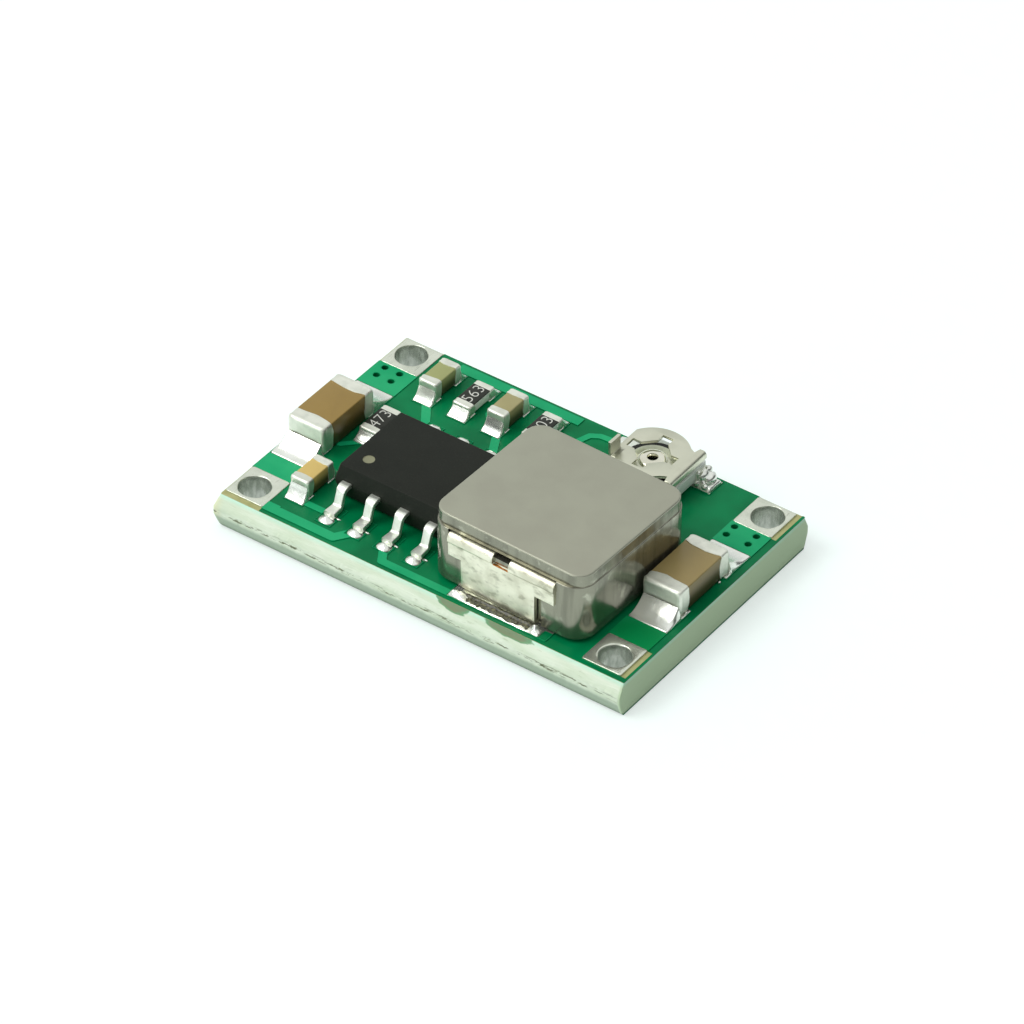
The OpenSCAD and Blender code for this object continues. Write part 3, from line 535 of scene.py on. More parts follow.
def placed(x: float, y: float, ahead: float = 1.0) -> Mapping:
    """Gives the mapping of a strip that runs along X through a place.

    Args:
        x: place along X.
        y: place along Y.
        ahead: 1 for a strip that runs towards +X, -1 for its mirror image.

    Returns:
        The mapping from (along, across, height) to a point.
    """

    def place(along: float, across: float, up: float) -> Point:
        """Places one point."""
        return (x + ahead * along, y + across, up)

    return place


def bead(centre: Point, reach: Point, lumps: float = 0.12, steps: int = 16) -> Shape:
    """A lump of solder: a ball pulled out of round.

    Args:
        centre: its middle.
        reach: its half sizes.
        lumps: how far it leaves the round, as a share.
        steps: rings from pole to pole.

    Returns:
        The shape.
    """
    rings = []
    for k in range(1, steps):
        tilt = pi * k / steps
        ring = []
        for i in range(2 * steps):
            turn = pi * i / steps
            ray = Vector((sin(tilt) * cos(turn), sin(tilt) * sin(turn), -cos(tilt)))
            grow = 1 + lumps * sheet_noise(*(ray * 1.3 + Vector(centre)), 0.7)
            ring.append(tuple(c + r * n * grow for c, r, n in zip(centre, reach, ray)))
        rings.append(ring)
    return Shape.loft(rings)


@dataclass(frozen=True)
class Pool:
    """A pool of solder on a pad: a height field with a rounded outline."""

    lo: tuple[float, float]
    hi: tuple[float, float]
    base: float
    corner: float = 0.14
    edge: float = 0.07
    cells: int = 34

    def shape(self, height: Height) -> Shape:
        """Builds the pool.

        Args:
            height: height over the base at a place, in millimetres.

        Returns:
            A closed shape.
        """
        n = self.cells
        mid = [(a + b) / 2 for a, b in zip(self.lo, self.hi)]
        half = [(b - a) / 2 for a, b in zip(self.lo, self.hi)]
        r = min(self.corner, *half)
        made = Shape()
        for j in range(n + 1):
            for i in range(n + 1):
                # cells are finer towards the rim
                u, v = (sin(pi / 2 * (2 * k / n - 1)) for k in (i, j))
                x, y = u * half[0], v * half[1]
                qx, qy = abs(x) - (half[0] - r), abs(y) - (half[1] - r)
                if qx > 0 and qy > 0:
                    far = hypot(qx, qy)
                    if far > r:
                        x = copysign(half[0] - r + qx * r / far, x)
                        y = copysign(half[1] - r + qy * r / far, y)
                    inside = max(r - far, 0.0)
                else:
                    inside = min(half[0] - abs(x), half[1] - abs(y))
                x, y = x + mid[0], y + mid[1]
                rim = min(inside / self.edge, 1.0)
                up = height(x, y) * sqrt(rim * (2 - rim))
                made.verts.append((x, y, self.base + max(up, 0.0)))
        row = n + 1
        for j in range(n):
            for i in range(n):
                a = j * row + i
                made.faces.append((a, a + 1, a + row + 1, a + row))
        rim_loop = (
            list(range(n))
            + [j * row + n for j in range(n)]
            + [n * row + n - i for i in range(n)]
            + [(n - j) * row for j in range(n)]
        )
        base = len(made.verts)
        made.verts += [(made.verts[i][0], made.verts[i][1], self.base - 0.004) for i in rim_loop]
        count = len(rim_loop)
        for k in range(count):
            m = (k + 1) % count
            made.faces.append((rim_loop[k], base + k, base + m, rim_loop[m]))
        made.faces.append(tuple(base + k for k in range(count - 1, -1, -1)))
        return made


@contextmanager
def editing(mesh: Mesh) -> Iterator[bmesh.types.BMesh]:
    """Opens a mesh for editing and writes it back afterwards.

    Args:
        mesh: the mesh.

    Yields:
        Its editable form.
    """
    bm = bmesh.new()
    bm.from_mesh(mesh)
    yield bm
    bm.to_mesh(mesh)
    bm.free()


def to_mesh(name: str, shape: Shape, sharp_deg: float) -> Mesh:
    """Turns a shape to a mesh in metres, with outward faces and smooth shading.

    Args:
        name: the mesh's name.
        shape: the shape, in millimetres.
        sharp_deg: edges that turn more than this stay sharp.

    Returns:
        The mesh.
    """
    mesh = bpy.data.meshes.new(name)
    mesh.from_pydata([Vector(v) * MM for v in shape.verts], [], shape.faces)
    with editing(mesh) as bm:
        weld(bm)
        bmesh.ops.recalc_face_normals(bm, faces=bm.faces)
        shade(bm, sharp_deg)
    return mesh


def weld(bm: bmesh.types.BMesh) -> None:
    """Joins corners that lie in one place."""
    bmesh.ops.remove_doubles(bm, verts=bm.verts, dist=WELD)


def shade(bm: bmesh.types.BMesh, sharp_deg: float) -> None:
    """Shades all faces smooth and marks edges that turn more than an angle as sharp."""
    limit = radians(sharp_deg)
    for face in bm.faces:
        face.smooth = True
    for edge in bm.edges:
        edge.smooth = len(edge.link_faces) == 2 and edge.calc_face_angle(0.0) < limit


@dataclass
class Piece:
    """A finished piece: its mesh object, finish, body, slot and the solids it stands for."""

    name: str
    finish: Finish
    slot: str
    stands_for: Sequence[str] = ()
    body: str = BOARD

    def from_shape(self, shape: Shape, sharp_deg: float = 40.0) -> bpy.types.Object:
        """Makes the piece from a shape and returns its object."""
        return self.from_mesh(to_mesh(self.name, shape, sharp_deg))

    def from_mesh(self, mesh: Mesh) -> bpy.types.Object:
        """Makes the piece from a mesh in metres and returns its object."""
        mesh.name = self.name
        mesh.materials.clear()
        mesh.materials.append(self.finish.material())
        made = bpy.data.objects.new(self.name, mesh)
        bpy.context.scene.collection.objects.link(made)
        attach(made, self.body)
        if self.stands_for:
            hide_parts(*self.stands_for)
        LOG.info("%s: %d faces on %s", self.name, len(mesh.polygons), self.body)
        return made


def evaluated(source: bpy.types.Object) -> Mesh:
    """Returns the mesh of an object with its modifiers, and removes the object.

    Args:
        source: the object with live modifiers.

    Returns:
        A plain mesh.
    """
    bpy.context.view_layer.update()
    graph = bpy.context.evaluated_depsgraph_get()
    mesh = bpy.data.meshes.new_from_object(source.evaluated_get(graph))
    bpy.data.objects.remove(source)
    return mesh


def helper(name: str, mesh: Mesh) -> bpy.types.Object:
    """Links a passing object that only carries modifiers."""
    made = bpy.data.objects.new(name, mesh)
    bpy.context.scene.collection.objects.link(made)
    return made


def carved(body: Shape, cutters: Iterable[Shape], sharp_deg: float = 30.0) -> Mesh:
    """Cuts shapes out of a body.

    Args:
        body: the shape that is cut.
        cutters: the shapes taken away.
        sharp_deg: edges that turn more than this stay sharp.

    Returns:
        The cut mesh.
    """
    made = helper("carving", to_mesh("carving", body, sharp_deg))
    tools = []
    for k, cutter in enumerate(cutters):
        tool = helper(f"cutter_{k}", to_mesh(f"cutter_{k}", cutter, sharp_deg))
        cut = made.modifiers.new(f"cut_{k}", "BOOLEAN")
        cut.operation, cut.solver, cut.object = "DIFFERENCE", "EXACT", tool
        tools.append(tool)
    mesh = evaluated(made)
    for tool in tools:
        bpy.data.objects.remove(tool)
    with editing(mesh) as bm:
        weld(bm)
        shade(bm, sharp_deg)
    return mesh


# ---------- finishes ----------


@dataclass(frozen=True)
class Laminate(Finish):
    """Sawn FR4, a glass-epoxy laminate: pale cut glass at the edges, olive resin on the face."""

    name: str = "fr4_laminate"
    face_z: float = 1.425
    web_z: float = 0.75
    end_x: float = 8.8

    def paint(self, art: Artwork) -> Node:
        """Plies across the edge, torn glass along the broken web, flux stains at the front, and
        painted shade low on the sides.
        """
        fibre = art.noise(0.07, 3.0, (6.0, 6.0, 0.9))
        ply = art.step(art.noise(0.5, 3.0, (3.0, 3.0, 0.6)), 0.35, 0.65)
        pale = art.mix(ply, "#dce8d0", "#e9f2df")
        pale = art.mix(art.step(fibre, 0.62, 0.8), pale, "#c3cfb2")
        # the sawn end is a shade greener, the end across from it yellower
        pale = art.mix(art.level(self.end_x - 0.1, self.end_x + 0.02, 0), pale, "#cadeb9")
        pale = art.mix(art.level(0.45 - self.end_x, -self.end_x, 0), pale, "#e3e6c2")
        # painted shade: below the web the broken sides are painted darker, most of all at the
        # foot, where a painted contact shadow lies, and a darker painted line runs along the very
        # bottom
        broken = art.level(self.end_x - 0.02, self.end_x - 0.1, 0)
        below = art.times(art.level(self.web_z - 0.05, self.web_z - 0.3), broken)
        pale = art.mix(art.times(below, 0.8), pale, "#a5b7a2")
        foot = art.times(art.level(0.3, 0.0), broken)
        pale = art.mix(art.times(foot, 0.8), pale, "#7d8e77")
        # painted contact shadow: a dark line along the bottom edge all round
        pale = art.mix(art.level(0.11, 0.05), pale, "#566353")
        off = art.math("ABSOLUTE", art.math("SUBTRACT", art.axis(2), self.web_z * MM))
        dash = art.step(art.noise(0.08, 3.0, (5.0, 5.0, 0.7)), 0.53, 0.62)
        torn = art.times(art.step(off, 0.13 * MM, 0.03 * MM), dash)
        pale = art.mix(art.times(torn, broken), pale, "#6d7454")
        # resin just below the mask takes a cyan tinge from the thin ink there
        lip = art.level(self.face_z - 0.2, self.face_z)
        pale = art.mix(art.times(lip, 0.75), pale, "#c9f5e0")
        # flux that ran down the front edge below the inductor
        ragged = art.noise(0.3, 5.0, (1.6, 1.0, 0.6))
        for centre, reach in (
            ((1.6, -5.6, 1.4), (1.05, 0.3, 0.46)), ((3.95, -5.6, 1.42), (1.7, 0.3, 0.44))
        ):
            wet = art.math("ADD", art.times(art.spot(centre, reach), 1.2), ragged)
            hue = art.mix(art.step(wet, 1.15, 1.5), "#4f9159", "#647345")
            pale = art.mix(art.times(art.step(wet, 0.95, 1.15), 0.85), pale, hue)
        face = art.mix(art.step(art.noise(0.4, 4.0), 0.35, 0.7), "#b4b27c", "#a3a26a")
        colour = art.mix(art.level(self.face_z, self.face_z + 0.01), pale, face)
        return art.surface(colour, art.bump(fibre, 0.02, 0.7), 0.62, {"IOR": 1.5})


@dataclass(frozen=True)
class SolderMask(Finish):
    """Glossy green liquid photo-imaged solder mask: dark on laminate, lighter over copper."""

    name: str = "green_solder_mask"
    step_z: float = 1.488

    def paint(self, art: Artwork) -> Node:
        """Colour changes with the copper below, with a patch of painted shade at the output end; a
        faint orange peel breaks the gloss.
        """
        cloud = art.step(art.noise(1.6, 2.0), 0.3, 0.7)
        dark = art.mix(cloud, "#006b3e", "#00804c")
        light = art.mix(cloud, "#12a069", "#27ad73")
        # painted shade: the mask over the copper at the output end is painted darker, for the
        # dimmer light on that side of the board
        light = art.mix(art.spot((7.9, -3.3, 1.5), (2.4, 1.9, 1.5)), light, "#008849")
        colour = art.mix(art.level(self.step_z - 0.003, self.step_z + 0.003), dark, light)
        peel = art.bump(art.noise(0.22, 2.0), 0.006, 0.35)
        gloss = {"IOR": 1.5, "Specular IOR Level": 0.25, "Specular Tint": linear("#5fe0a8")}
        return art.surface(colour, peel, 0.24, gloss)


@dataclass(frozen=True)
class Tin(Finish):
    """Tin in one of its forms: hot-air levelled, plated or reflowed. Metals keep their IOR."""

    name: str = "tin"
    colour: str = "#dcdcd2"
    shadow: str = "#b9bab0"
    roughness: float = 0.25
    grain: float = 0.12
    depth: float = 0.008
    scratch: float = 0.0
    stain: float = 0.0
    metallic: float = 1.0
    bore_z: float = 0.0

    def paint(self, art: Artwork) -> Node:
        """Clouded bright metal, rougher where it is dull, with scratches where it has them."""
        cloud = art.noise(self.grain * 3, 4.0)
        tone = art.mix(art.step(cloud, 0.35, 0.7), self.colour, self.shadow)
        rough = art.scaled(cloud, self.roughness * 0.7, self.roughness * 1.5)
        normal = art.bump(art.noise(self.grain, 3.0), self.depth, 0.6)
        if self.scratch:
            mark = art.step(art.noise(0.05, 3.0, (0.7, 9.0, 3.0)), 0.62, 0.7)
            tone = art.mix(art.times(mark, self.scratch), tone, "#8d9088")
        if self.stain:
            mark = art.step(art.noise(0.45, 6.0, (1.0, 1.0, 0.6)), 0.5, 0.7)
            tone = art.mix(art.times(mark, self.stain), tone, "#77765c")
        if self.bore_z:
            # the barrel below the face is drawn out in streaks and less yellow
            drawn = art.noise(0.18, 4.0, (1.0, 1.0, 3.0))
            wall = art.mix(art.step(drawn, 0.3, 0.7), "#dfe4dc", "#b3bbb0")
            tone = art.mix(art.level(self.bore_z + 0.01, self.bore_z - 0.03), tone, wall)
            rough = art.times(rough, 0.7)
            normal = art.bump(drawn, 0.012, 0.6)
        return art.surface(tone, normal, rough, {"Metallic": self.metallic})


@dataclass(frozen=True)
class Powder(Finish):
    """Pressed iron powder with resin: a warm grey, satin on top and glossier down the sides."""

    name: str = "pressed_iron_powder"
    top_z: float = 4.4

    def paint(self, art: Artwork) -> Node:
        """Faint clouds on the top; the die leaves the sides smooth and streaked, and their darker
        tone, streaks and pale spots are partly painted shade and painted reflection.
        """
        top = art.level(self.top_z - 0.05, self.top_z + 0.01)
        streak = art.noise(0.32, 3.0, (1.0, 1.0, 9.0))
        face = art.mix(art.step(art.noise(1.3, 3.0), 0.3, 0.7), "#a3a393", "#a8a998")
        # the darker, streaked sides and their pale spots are partly painted shade and painted
        # reflection
        wall = art.mix(art.step(streak, 0.4, 0.7), "#959485", "#807f72")
        wall = art.mix(art.step(art.noise(0.4, 5.0), 0.58, 0.72), wall, "#b5b5a5")
        colour = art.mix(top, wall, face)
        metal = {"Metallic": art.scaled(top, 0.85, 0.5)}
        return art.surface(colour, art.bump(streak, 0.014, 0.5), art.scaled(top, 0.2, 0.42), metal)


@dataclass(frozen=True)
class Epoxy(Finish):
    """Black moulding compound of a chip package: fine matt grain with specks of glass filler."""

    name: str = "black_moulding_compound"
    dot: Point = (0.0, 0.0, 0.0)
    dot_r: float = 0.22

    def paint(self, art: Artwork) -> Node:
        """Grain of a spark-eroded mould, with the first lead's dimple in dull khaki."""
        grit = art.noise(0.03, 3.0)
        tone = art.mix(art.noise(0.8, 3.0), "#1b1e19", "#232620")
        tone = art.mix(art.step(grit, 0.62, 0.74), tone, "#3c3f35")
        x, y, z = self.dot
        far = art.far((-x * MM, -y * MM, 0.0), (1.0, 1.0, 0.0))
        ring = art.step(far, (self.dot_r + 0.01) * MM, (self.dot_r - 0.01) * MM)
        tone = art.mix(art.times(ring, art.level(z - 0.1, z - 0.05)), tone, "#8c8c72")
        gloss = {"IOR": 1.5, "Specular IOR Level": 0.14}
        return art.surface(tone, art.bump(grit, 0.006, 0.8), 0.5, gloss)


@dataclass(frozen=True)
class Ceramic(Finish):
    """Fired ceramic of a chip: barium titanate for capacitors, alumina for the others."""

    name: str = "capacitor_ceramic"
    colour: str = "#9b8046"
    shade: str = "#86703c"
    roughness: float = 0.3
    grain: float = 0.05
    # share and upper end of the painted shade that darkens the chip towards the board
    foot_shade: float = 0.88
    foot_shade_top: float = 2.2

    def paint(self, art: Artwork) -> Node:
        """Slight clouds and fine pores under a tumbled sheen, with painted shade darkening the
        sides towards the board.
        """
        pore = art.noise(self.grain, 2.0)
        tone = art.mix(art.noise(0.6, 3.0), self.colour, self.shade)
        tone = art.mix(art.step(pore, 0.66, 0.8), tone, self.shade)
        # painted shade: darker towards the board, standing in for the shadow and dark reflections
        # low on the chip
        tone = art.mix(art.times(art.level(self.foot_shade_top, 1.7), self.foot_shade), tone, "#221d0c")
        gloss = {"IOR": 1.5, "Specular IOR Level": 0.3}
        return art.surface(tone, art.bump(pore, 0.003, 0.4), self.roughness, gloss)


@dataclass(frozen=True)
class Glass(Finish):
    """Black lead-free overglaze of a chip resistor: smooth, with a faint flow."""

    name: str = "black_overglaze"

    def paint(self, art: Artwork) -> Node:
        """Nearly black glass with soft waves."""
        wave = art.noise(0.2, 2.0)
        tone = art.mix(wave, "#20221d", "#30322b")
        gloss = {"IOR": 1.5, "Specular IOR Level": 0.25}
        return art.surface(tone, art.bump(wave, 0.01, 0.3), 0.3, gloss)


@dataclass(frozen=True)
class Ink(Finish):
    """Matt printing ink on the overglaze."""

    name: str = "white_ink"
    colour: str = "#d9dad2"

    def paint(self, art: Artwork) -> Node:
        """Uneven cover of a pad print."""
        tone = art.mix(art.step(art.noise(0.04, 2.0), 0.6, 0.7), self.colour, "#8d8f88")
        return add(art.tree, "ShaderNodeBsdfPrincipled", {"Base Color": tone, "Roughness": 0.6})


@dataclass(frozen=True)
class Flux(Finish):
    """Dried flux: a brown-olive varnish on the pad below the inductor."""

    name: str = "dried_flux"

    def paint(self, art: Artwork) -> Node:
        """Dark glossy varnish with lighter crumbs."""
        crumb = art.noise(0.1, 4.0)
        tone = art.mix(art.step(crumb, 0.45, 0.66), "#2a2a17", "#5c5a3a")
        return art.surface(tone, art.bump(crumb, 0.03, 0.6), 0.25, {"IOR": 1.54})


@dataclass(frozen=True)
class Paper(Finish):
    """White seamless backdrop: the camera and the reflections see it white, shadows stay."""

    name: str = "white_backdrop"
    lift: float = 0.46

    def paint(self, art: Artwork) -> Node:
        """Pale paper, lifted to white for camera and glossy rays."""
        tone = art.mix(art.noise(0.6, 2.0), "#c3d0ce", "#c8d5d3")
        sheet = add(art.tree, "ShaderNodeBsdfDiffuse", {"Color": tone})
        path = add(art.tree, "ShaderNodeLightPath").outputs
        seen = art.math("MAXIMUM", path["Is Camera Ray"], path["Is Glossy Ray"])
        seen = art.math("MAXIMUM", seen, path["Is Transmission Ray"])
        glow = {"Color": linear("#ffffff"), "Strength": art.times(seen, self.lift)}
        lift = add(art.tree, "ShaderNodeEmission", glow)
        return add(art.tree, "ShaderNodeAddShader", {0: sheet.outputs[0], 1: lift.outputs[0]})


class Finishes:
    """Every finish of the module, by what it is."""

    LAMINATE = Laminate()
    MASK = SolderMask()
    # the ink runs into the vias and covers their plating
    INKED = SolderMask("solder_mask_over_vias")
    LEVELLED = Tin(
        "levelled_tin", "#e2e7d8", "#d2d8c8", 0.28, 0.3, 0.005, 0.5, metallic=0.8, bore_z=1.46
    )
    PLATED = Tin("plated_tin", "#f4f8ee", "#e6eade", 0.28, 0.1, 0.004, metallic=0.8)
    SOLDER = Tin("reflowed_solder", "#f6f8f2", "#eaede4", 0.2, 0.2, 0.005, metallic=0.8)
    STRIP = Tin("tinned_copper_strip", "#f1efdc", "#d8d6c2", 0.33, 0.2, 0.005, 0.0, 0.45, 0.9)
    BANDS = Tin("chip_end_plating", "#f0f2e6", "#dfe2d6", 0.42, 0.14, 0.006, metallic=0.85)
    SPRING = Tin("plated_spring_strip", "#dcddca", "#d3d4c1", 0.34, 0.3, 0.002)
    RIVET = Tin("polished_rivet", "#f2f1e2", "#e4e2d0", 0.1, 0.3, 0.002)
    FOIL = Tin("bare_copper", "#c47f4d", "#a8673b", 0.35, 0.1, 0.004)
    POWDER = Powder()
    # the two large capacitors take their painted shade up to a greater height
    CIN = Ceramic("brown_capacitor_ceramic", "#9c8145", "#927840", 0.28, foot_shade_top=2.6)
    COUT = Ceramic("dull_brown_capacitor_ceramic", "#a08d5c", "#968456", 0.3, foot_shade_top=2.6)
    CBOOT = Ceramic("golden_capacitor_ceramic", "#d8bd72", "#cfb268", 0.32)
    CCOMP = Ceramic("olive_capacitor_ceramic", "#a5aa72", "#9ca069", 0.32)
    CFILT = Ceramic("tan_capacitor_ceramic", "#a9a174", "#9f976a", 0.32)
    ALUMINA = Ceramic("white_alumina", "#f3f8f1", "#e9f0e7", 0.45, 0.04, 0.0)
    COPPER_EDGE = Tin("sheared_copper_edge", "#b8793f", "#8d5a2c", 0.4, 0.05, 0.004)
    GLASS_FIBRE = Ceramic("torn_glass_fibre", "#c3cdb2", "#7f8a68", 0.4, 0.06, 0.0)
    GLASS = Glass()
    INK = Ink()
    FLUX = Flux()
    # the track takes no painted shade
    CERMET = Ceramic("cermet_track", "#2a2a28", "#1d1d1c", 0.5, foot_shade=0.0)
    PAPER = Paper()


def coat(node: str, finish: Finish) -> None:
    """Gives a kept solid its finish.

    Args:
        node: the solid's name.
        finish: the finish.
    """
    solid = frame["nodes"][node]
    solid.data.materials.clear()
    solid.data.materials.append(finish.material())
    LOG.info("%s: kept solid in %s", node, finish.name)


def solder(name: str, node: str, shape: Shape) -> None:
    """Makes a piece of reflowed solder, which stays smooth up to a steep angle."""
    Piece(name, Finishes.SOLDER, "solder", [node]).from_shape(shape, SMOOTH_DEG)


def drill(radius: float, centre: Point, count: int = 48) -> Shape:
    """An upright cutter that goes right through a thin piece."""
    return lathe([(0.002, -1), (radius, -1), (radius, 2), (0.002, 2)], centre, count)


# ---------- the board ----------


@dataclass
class Board:
    """The laminate with its mask, foil, corner holes and vias."""

    hole_r: float = 0.6
    wall: float = 0.03
    pad: float = 1.64
    pad_shift: float = 0.08
    pad_corner: float = 0.05
    dome: float = 0.022
    via_r: float = 0.13
    via_pitch: Flat = (0.66, 0.93)
    web: float = 0.3
    rim_step: float = 0.07
    rough_web: float = 0.035
    rough_score: float = 0.005
    corner_r: Flat = (0.05, 0.06)

    def __post_init__(self) -> None:
        """Reads the board's boxes and works out its corner holes."""
        self.core = Box.of("laminate")
        self.mask = Box.of("top_mask")
        self.holes = {}
        for node in ("corner_in_pos", "corner_in_neg", "corner_out_pos", "corner_out_neg"):
            x, y, _ = Box.of(node).mid
            shift = self.pad_shift
            self.holes[node] = (x + copysign(shift, x), y + copysign(shift, y))

    def rim_ring(self, z: float, share: float) -> Ring:
        """One level of the board's rim: three sides broken from a panel, one sawn.

        Args:
            z: height.
            share: how far the level stands out, from 0 at a face to 1 at the web.

        Returns:
            The ring.
        """
        lo, hi, flat = self.core.lo, self.core.hi, self.mask
        x0 = flat.lo[0] + (lo[0] - flat.lo[0]) * share
        y0 = flat.lo[1] + (lo[1] - flat.lo[1]) * share
        y1 = flat.hi[1] + (hi[1] - flat.hi[1]) * share
        corners = [(x0, y0), (hi[0], y0), (hi[0], y1), (x0, y1)]
        away = [(0, -1), (0, 0), (0, 1), (-1, 0)]
        amount = self.rough_score + self.rough_web * share**3
        ring = []
        for k, (start, push) in enumerate(zip(corners, away)):
            end = corners[(k + 1) % 4]
            steps = round(self.core.size[k % 2] / self.rim_step)
            for i in range(steps):
                x = start[0] + (end[0] - start[0]) * i / steps
                y = start[1] + (end[1] - start[1]) * i / steps
                tear = abs(sheet_noise(x, y, z * 2, 0.16)) + abs(sheet_noise(x, y, z * 2, 0.05))
                pull = tear * amount * min(i, steps - i, 6) / 6 * (0.4 if push[0] else 1.0)
                # the left corners were knocked round, the right ones stayed crisp
                radius = self.corner_r[0] + self.corner_r[1] * share if x < 0 else 0.06
                ex, ey = x - push[0] * pull, y - push[1] * pull
                cx = (x0 + radius) if x < 0 else (hi[0] - radius)
                cy = (y0 + radius) if y < 0 else (y1 - radius)
                dx, dy = (ex - cx) * (1 if x > 0 else -1), (ey - cy) * (1 if y > 0 else -1)
                if dx > 0 and dy > 0:
                    far = max(hypot(dx, dy), radius)
                    ex, ey = cx + (ex - cx) * radius / far, cy + (ey - cy) * radius / far
                ring.append((ex, ey, z))
        return ring

    def laminate(self) -> None:
        """Makes the laminate: two scored bevels with a torn web between, and its holes."""
        low, high = self.core.lo[2], self.core.hi[2]
        mid, half = (low + high) / 2, self.web / 2
        # the lower score stops short of the mask, so the core overhangs it
        levels = [(low, 0.22), (low + 0.03, 0.3)]
        levels += [(low + (mid - half - low) * k / 3, 0.3 + 0.7 * k / 3) for k in (1, 2, 3)]
        levels += [(mid - half + self.web * k / 6, 1.0) for k in range(1, 6)]
        levels += [(high - (high - mid - half) * k / 3, k / 3) for k in (3, 2, 1)]
        levels += [(high - 0.03, 0.05), (high, 0.0)]
        block = Shape.loft([self.rim_ring(z, share) for z, share in levels])
        cutter = Shape()
        span = (low - 0.3, high + 0.3)
        bores = [(x, y, self.hole_r + self.wall / 2) for x, y in self.holes.values()]
        bores += [(x, y, self.via_r + self.wall / 2) for x, y in self.via_places()]
        turns = [2 * pi * k / 64 for k in range(64)]
        for x, y, r in bores:
            rings = [[(x + r * cos(t), y + r * sin(t), z) for t in turns] for z in span]
            cutter.join(Shape.loft(rings))
        mesh = carved(block, [cutter], 35.0)
        Piece("board_laminate", Finishes.LAMINATE, "laminate", ["laminate"]).from_mesh(mesh)

    def fibres(self) -> None:
        """Makes the glass fibres torn out along the broken webs."""
        lo, hi = self.core.lo, self.core.hi
        z = (lo[2] + hi[2]) / 2
        inset = 0.035
        sides = (lo[1] + inset, hi[1] - inset)
        verts = [Vector((x, y, z)) * MM for y in sides for x in (lo[0] + 0.8, hi[0] - 0.5)]
        mesh = bpy.data.meshes.new("web_lines")
        mesh.from_pydata(verts, [(0, 1), (2, 3)], [])
        values = {"Spacing": 0.19, "Length": 0.24, "Radius": 0.009, "Rise": 0.06, "Reach": 0.012}
        made = grown("torn_fibres", mesh, fibre_tree(), values, Finishes.GLASS_FIBRE)
        Piece("torn_fibres", Finishes.GLASS_FIBRE, "laminate").from_mesh(made)

    def corner(self, node: str, hole: Flat) -> None:
        """Makes one plated corner hole with a domed pad on each face.

        Args:
            node: the solid it stands for.
            hole: the hole's axis.
        """
        box = Box.of(node)
        count = 96
        turns = [2 * pi * k / count for k in range(count)]
        reach = [self.rim_reach(t, [m - h for m, h in zip(box.mid, hole)]) for t in turns]
        top, low = box.hi[2], box.lo[2]

        def ring(share: float, up: float) -> Ring:
            """One ring between the hole and the pad's rim."""
            points = []
            for turn, far in zip(turns, reach):
                r = self.hole_r + (far - self.hole_r) * share
                x, y = hole[0] + r * cos(turn), hole[1] + r * sin(turn)
                ripple = 0.004 * sheet_noise(x, y, up, 0.25)
                points.append((x, y, up + ripple * (share > 0)))
            return points

        shares = [0.0, 0.03, 0.07, 0.13, 0.3, 0.5, 0.7, 0.86, 0.95, 0.985]
        rings = []
        for share in shares:
            bulge = 0.35 + 0.65 * sin(pi * min(share * 1.02, 1.0)) ** 0.5
            # the drill left a small funnel, which the tin rounds
            fall = 0.035 * max(1 - share / 0.13, 0.0) ** 2
            rings.append(ring(share, top - fall + self.dome * (bulge - 0.35) * (share < 0.98)))
        rim = ((1.0, top - 0.012), (1.0, top - 0.06), (1.0, low + 0.06), (1.0, low + 0.004))
        rings += [ring(*level) for level in (*rim, (0.6, low), (0.06, low), (0.0, low + 0.02))]
        for k in range(1, 6):
            z = low + 0.02 + (top - low - 0.04) * k / 6
            rings.append([(x, y, z) for x, y, _ in ring(0.0, 0.0)])
        shape = Shape.loft(rings, closed=True)
        name = "plating_" + node.removeprefix("corner_")
        Piece(name, Finishes.LEVELLED, "tinned_metal", [node]).from_shape(shape, 50.0)

    def rim_reach(self, turn: float, shift: Sequence[float]) -> float:
        """Distance from the hole's axis to the rim of its square pad.

        Args:
            turn: direction, in radians.
            shift: the pad's middle from the hole's axis.

        Returns:
            The distance in millimetres.
        """
        low, high = 0.0, self.pad * 1.2
        half, r = self.pad / 2, self.pad_corner
        for _ in range(24):
            far = (low + high) / 2
            x = abs(far * cos(turn) - shift[0]) - (half - r)
            y = abs(far * sin(turn) - shift[1]) - (half - r)
            outside = hypot(max(x, 0), max(y, 0)) + min(max(x, y), 0) - r
            low, high = (far, high) if outside < 0 else (low, far)
        return low

    def vias(self) -> None:
        """Makes the eight plated vias from one barrel, placed on points."""
        box = Box.of("vias")
        mesh = bpy.data.meshes.new("via_points")
        mesh.from_pydata([Vector((x, y, box.lo[2])) * MM for x, y in self.via_places()], [], [])
        values = {"Bore Radius": self.via_r, "Wall": self.wall, "Lip": 0.012}
        values["Height"] = box.size[2]
        made = grown("via_barrels", mesh, barrel_tree(), values, Finishes.INKED)
        Piece("via_barrels", Finishes.INKED, "tinned_metal", ["vias"]).from_mesh(made)

    def via_places(self) -> list[Flat]:
        """Finds the middle of each via: two at each of two pitches from either end's middle."""
        box = Box.of("vias")
        r = self.via_r + self.wall
        places = []
        for x0, pitch in ((box.lo[0] + r, self.via_pitch[0]), (box.hi[0] - r, -self.via_pitch[1])):
            for y in (box.lo[1] + r, box.hi[1] - r):
                places += [(x0, y), (x0 + pitch, y)]
        return places

    def dress(self) -> None:
        """Builds the board's pieces and gives the kept solids their finishes."""
        self.laminate()
        self.fibres()
        for node, hole in self.holes.items():
            self.corner(node, hole)
        self.vias()
        for node, finish in (
            ("top_mask", Finishes.MASK),
            ("bottom_mask", Finishes.MASK),
            ("top_copper", Finishes.LEVELLED),
            ("bottom_copper", Finishes.FOIL),
        ):
            coat(node, finish)


# ---------- geometry trees ----------


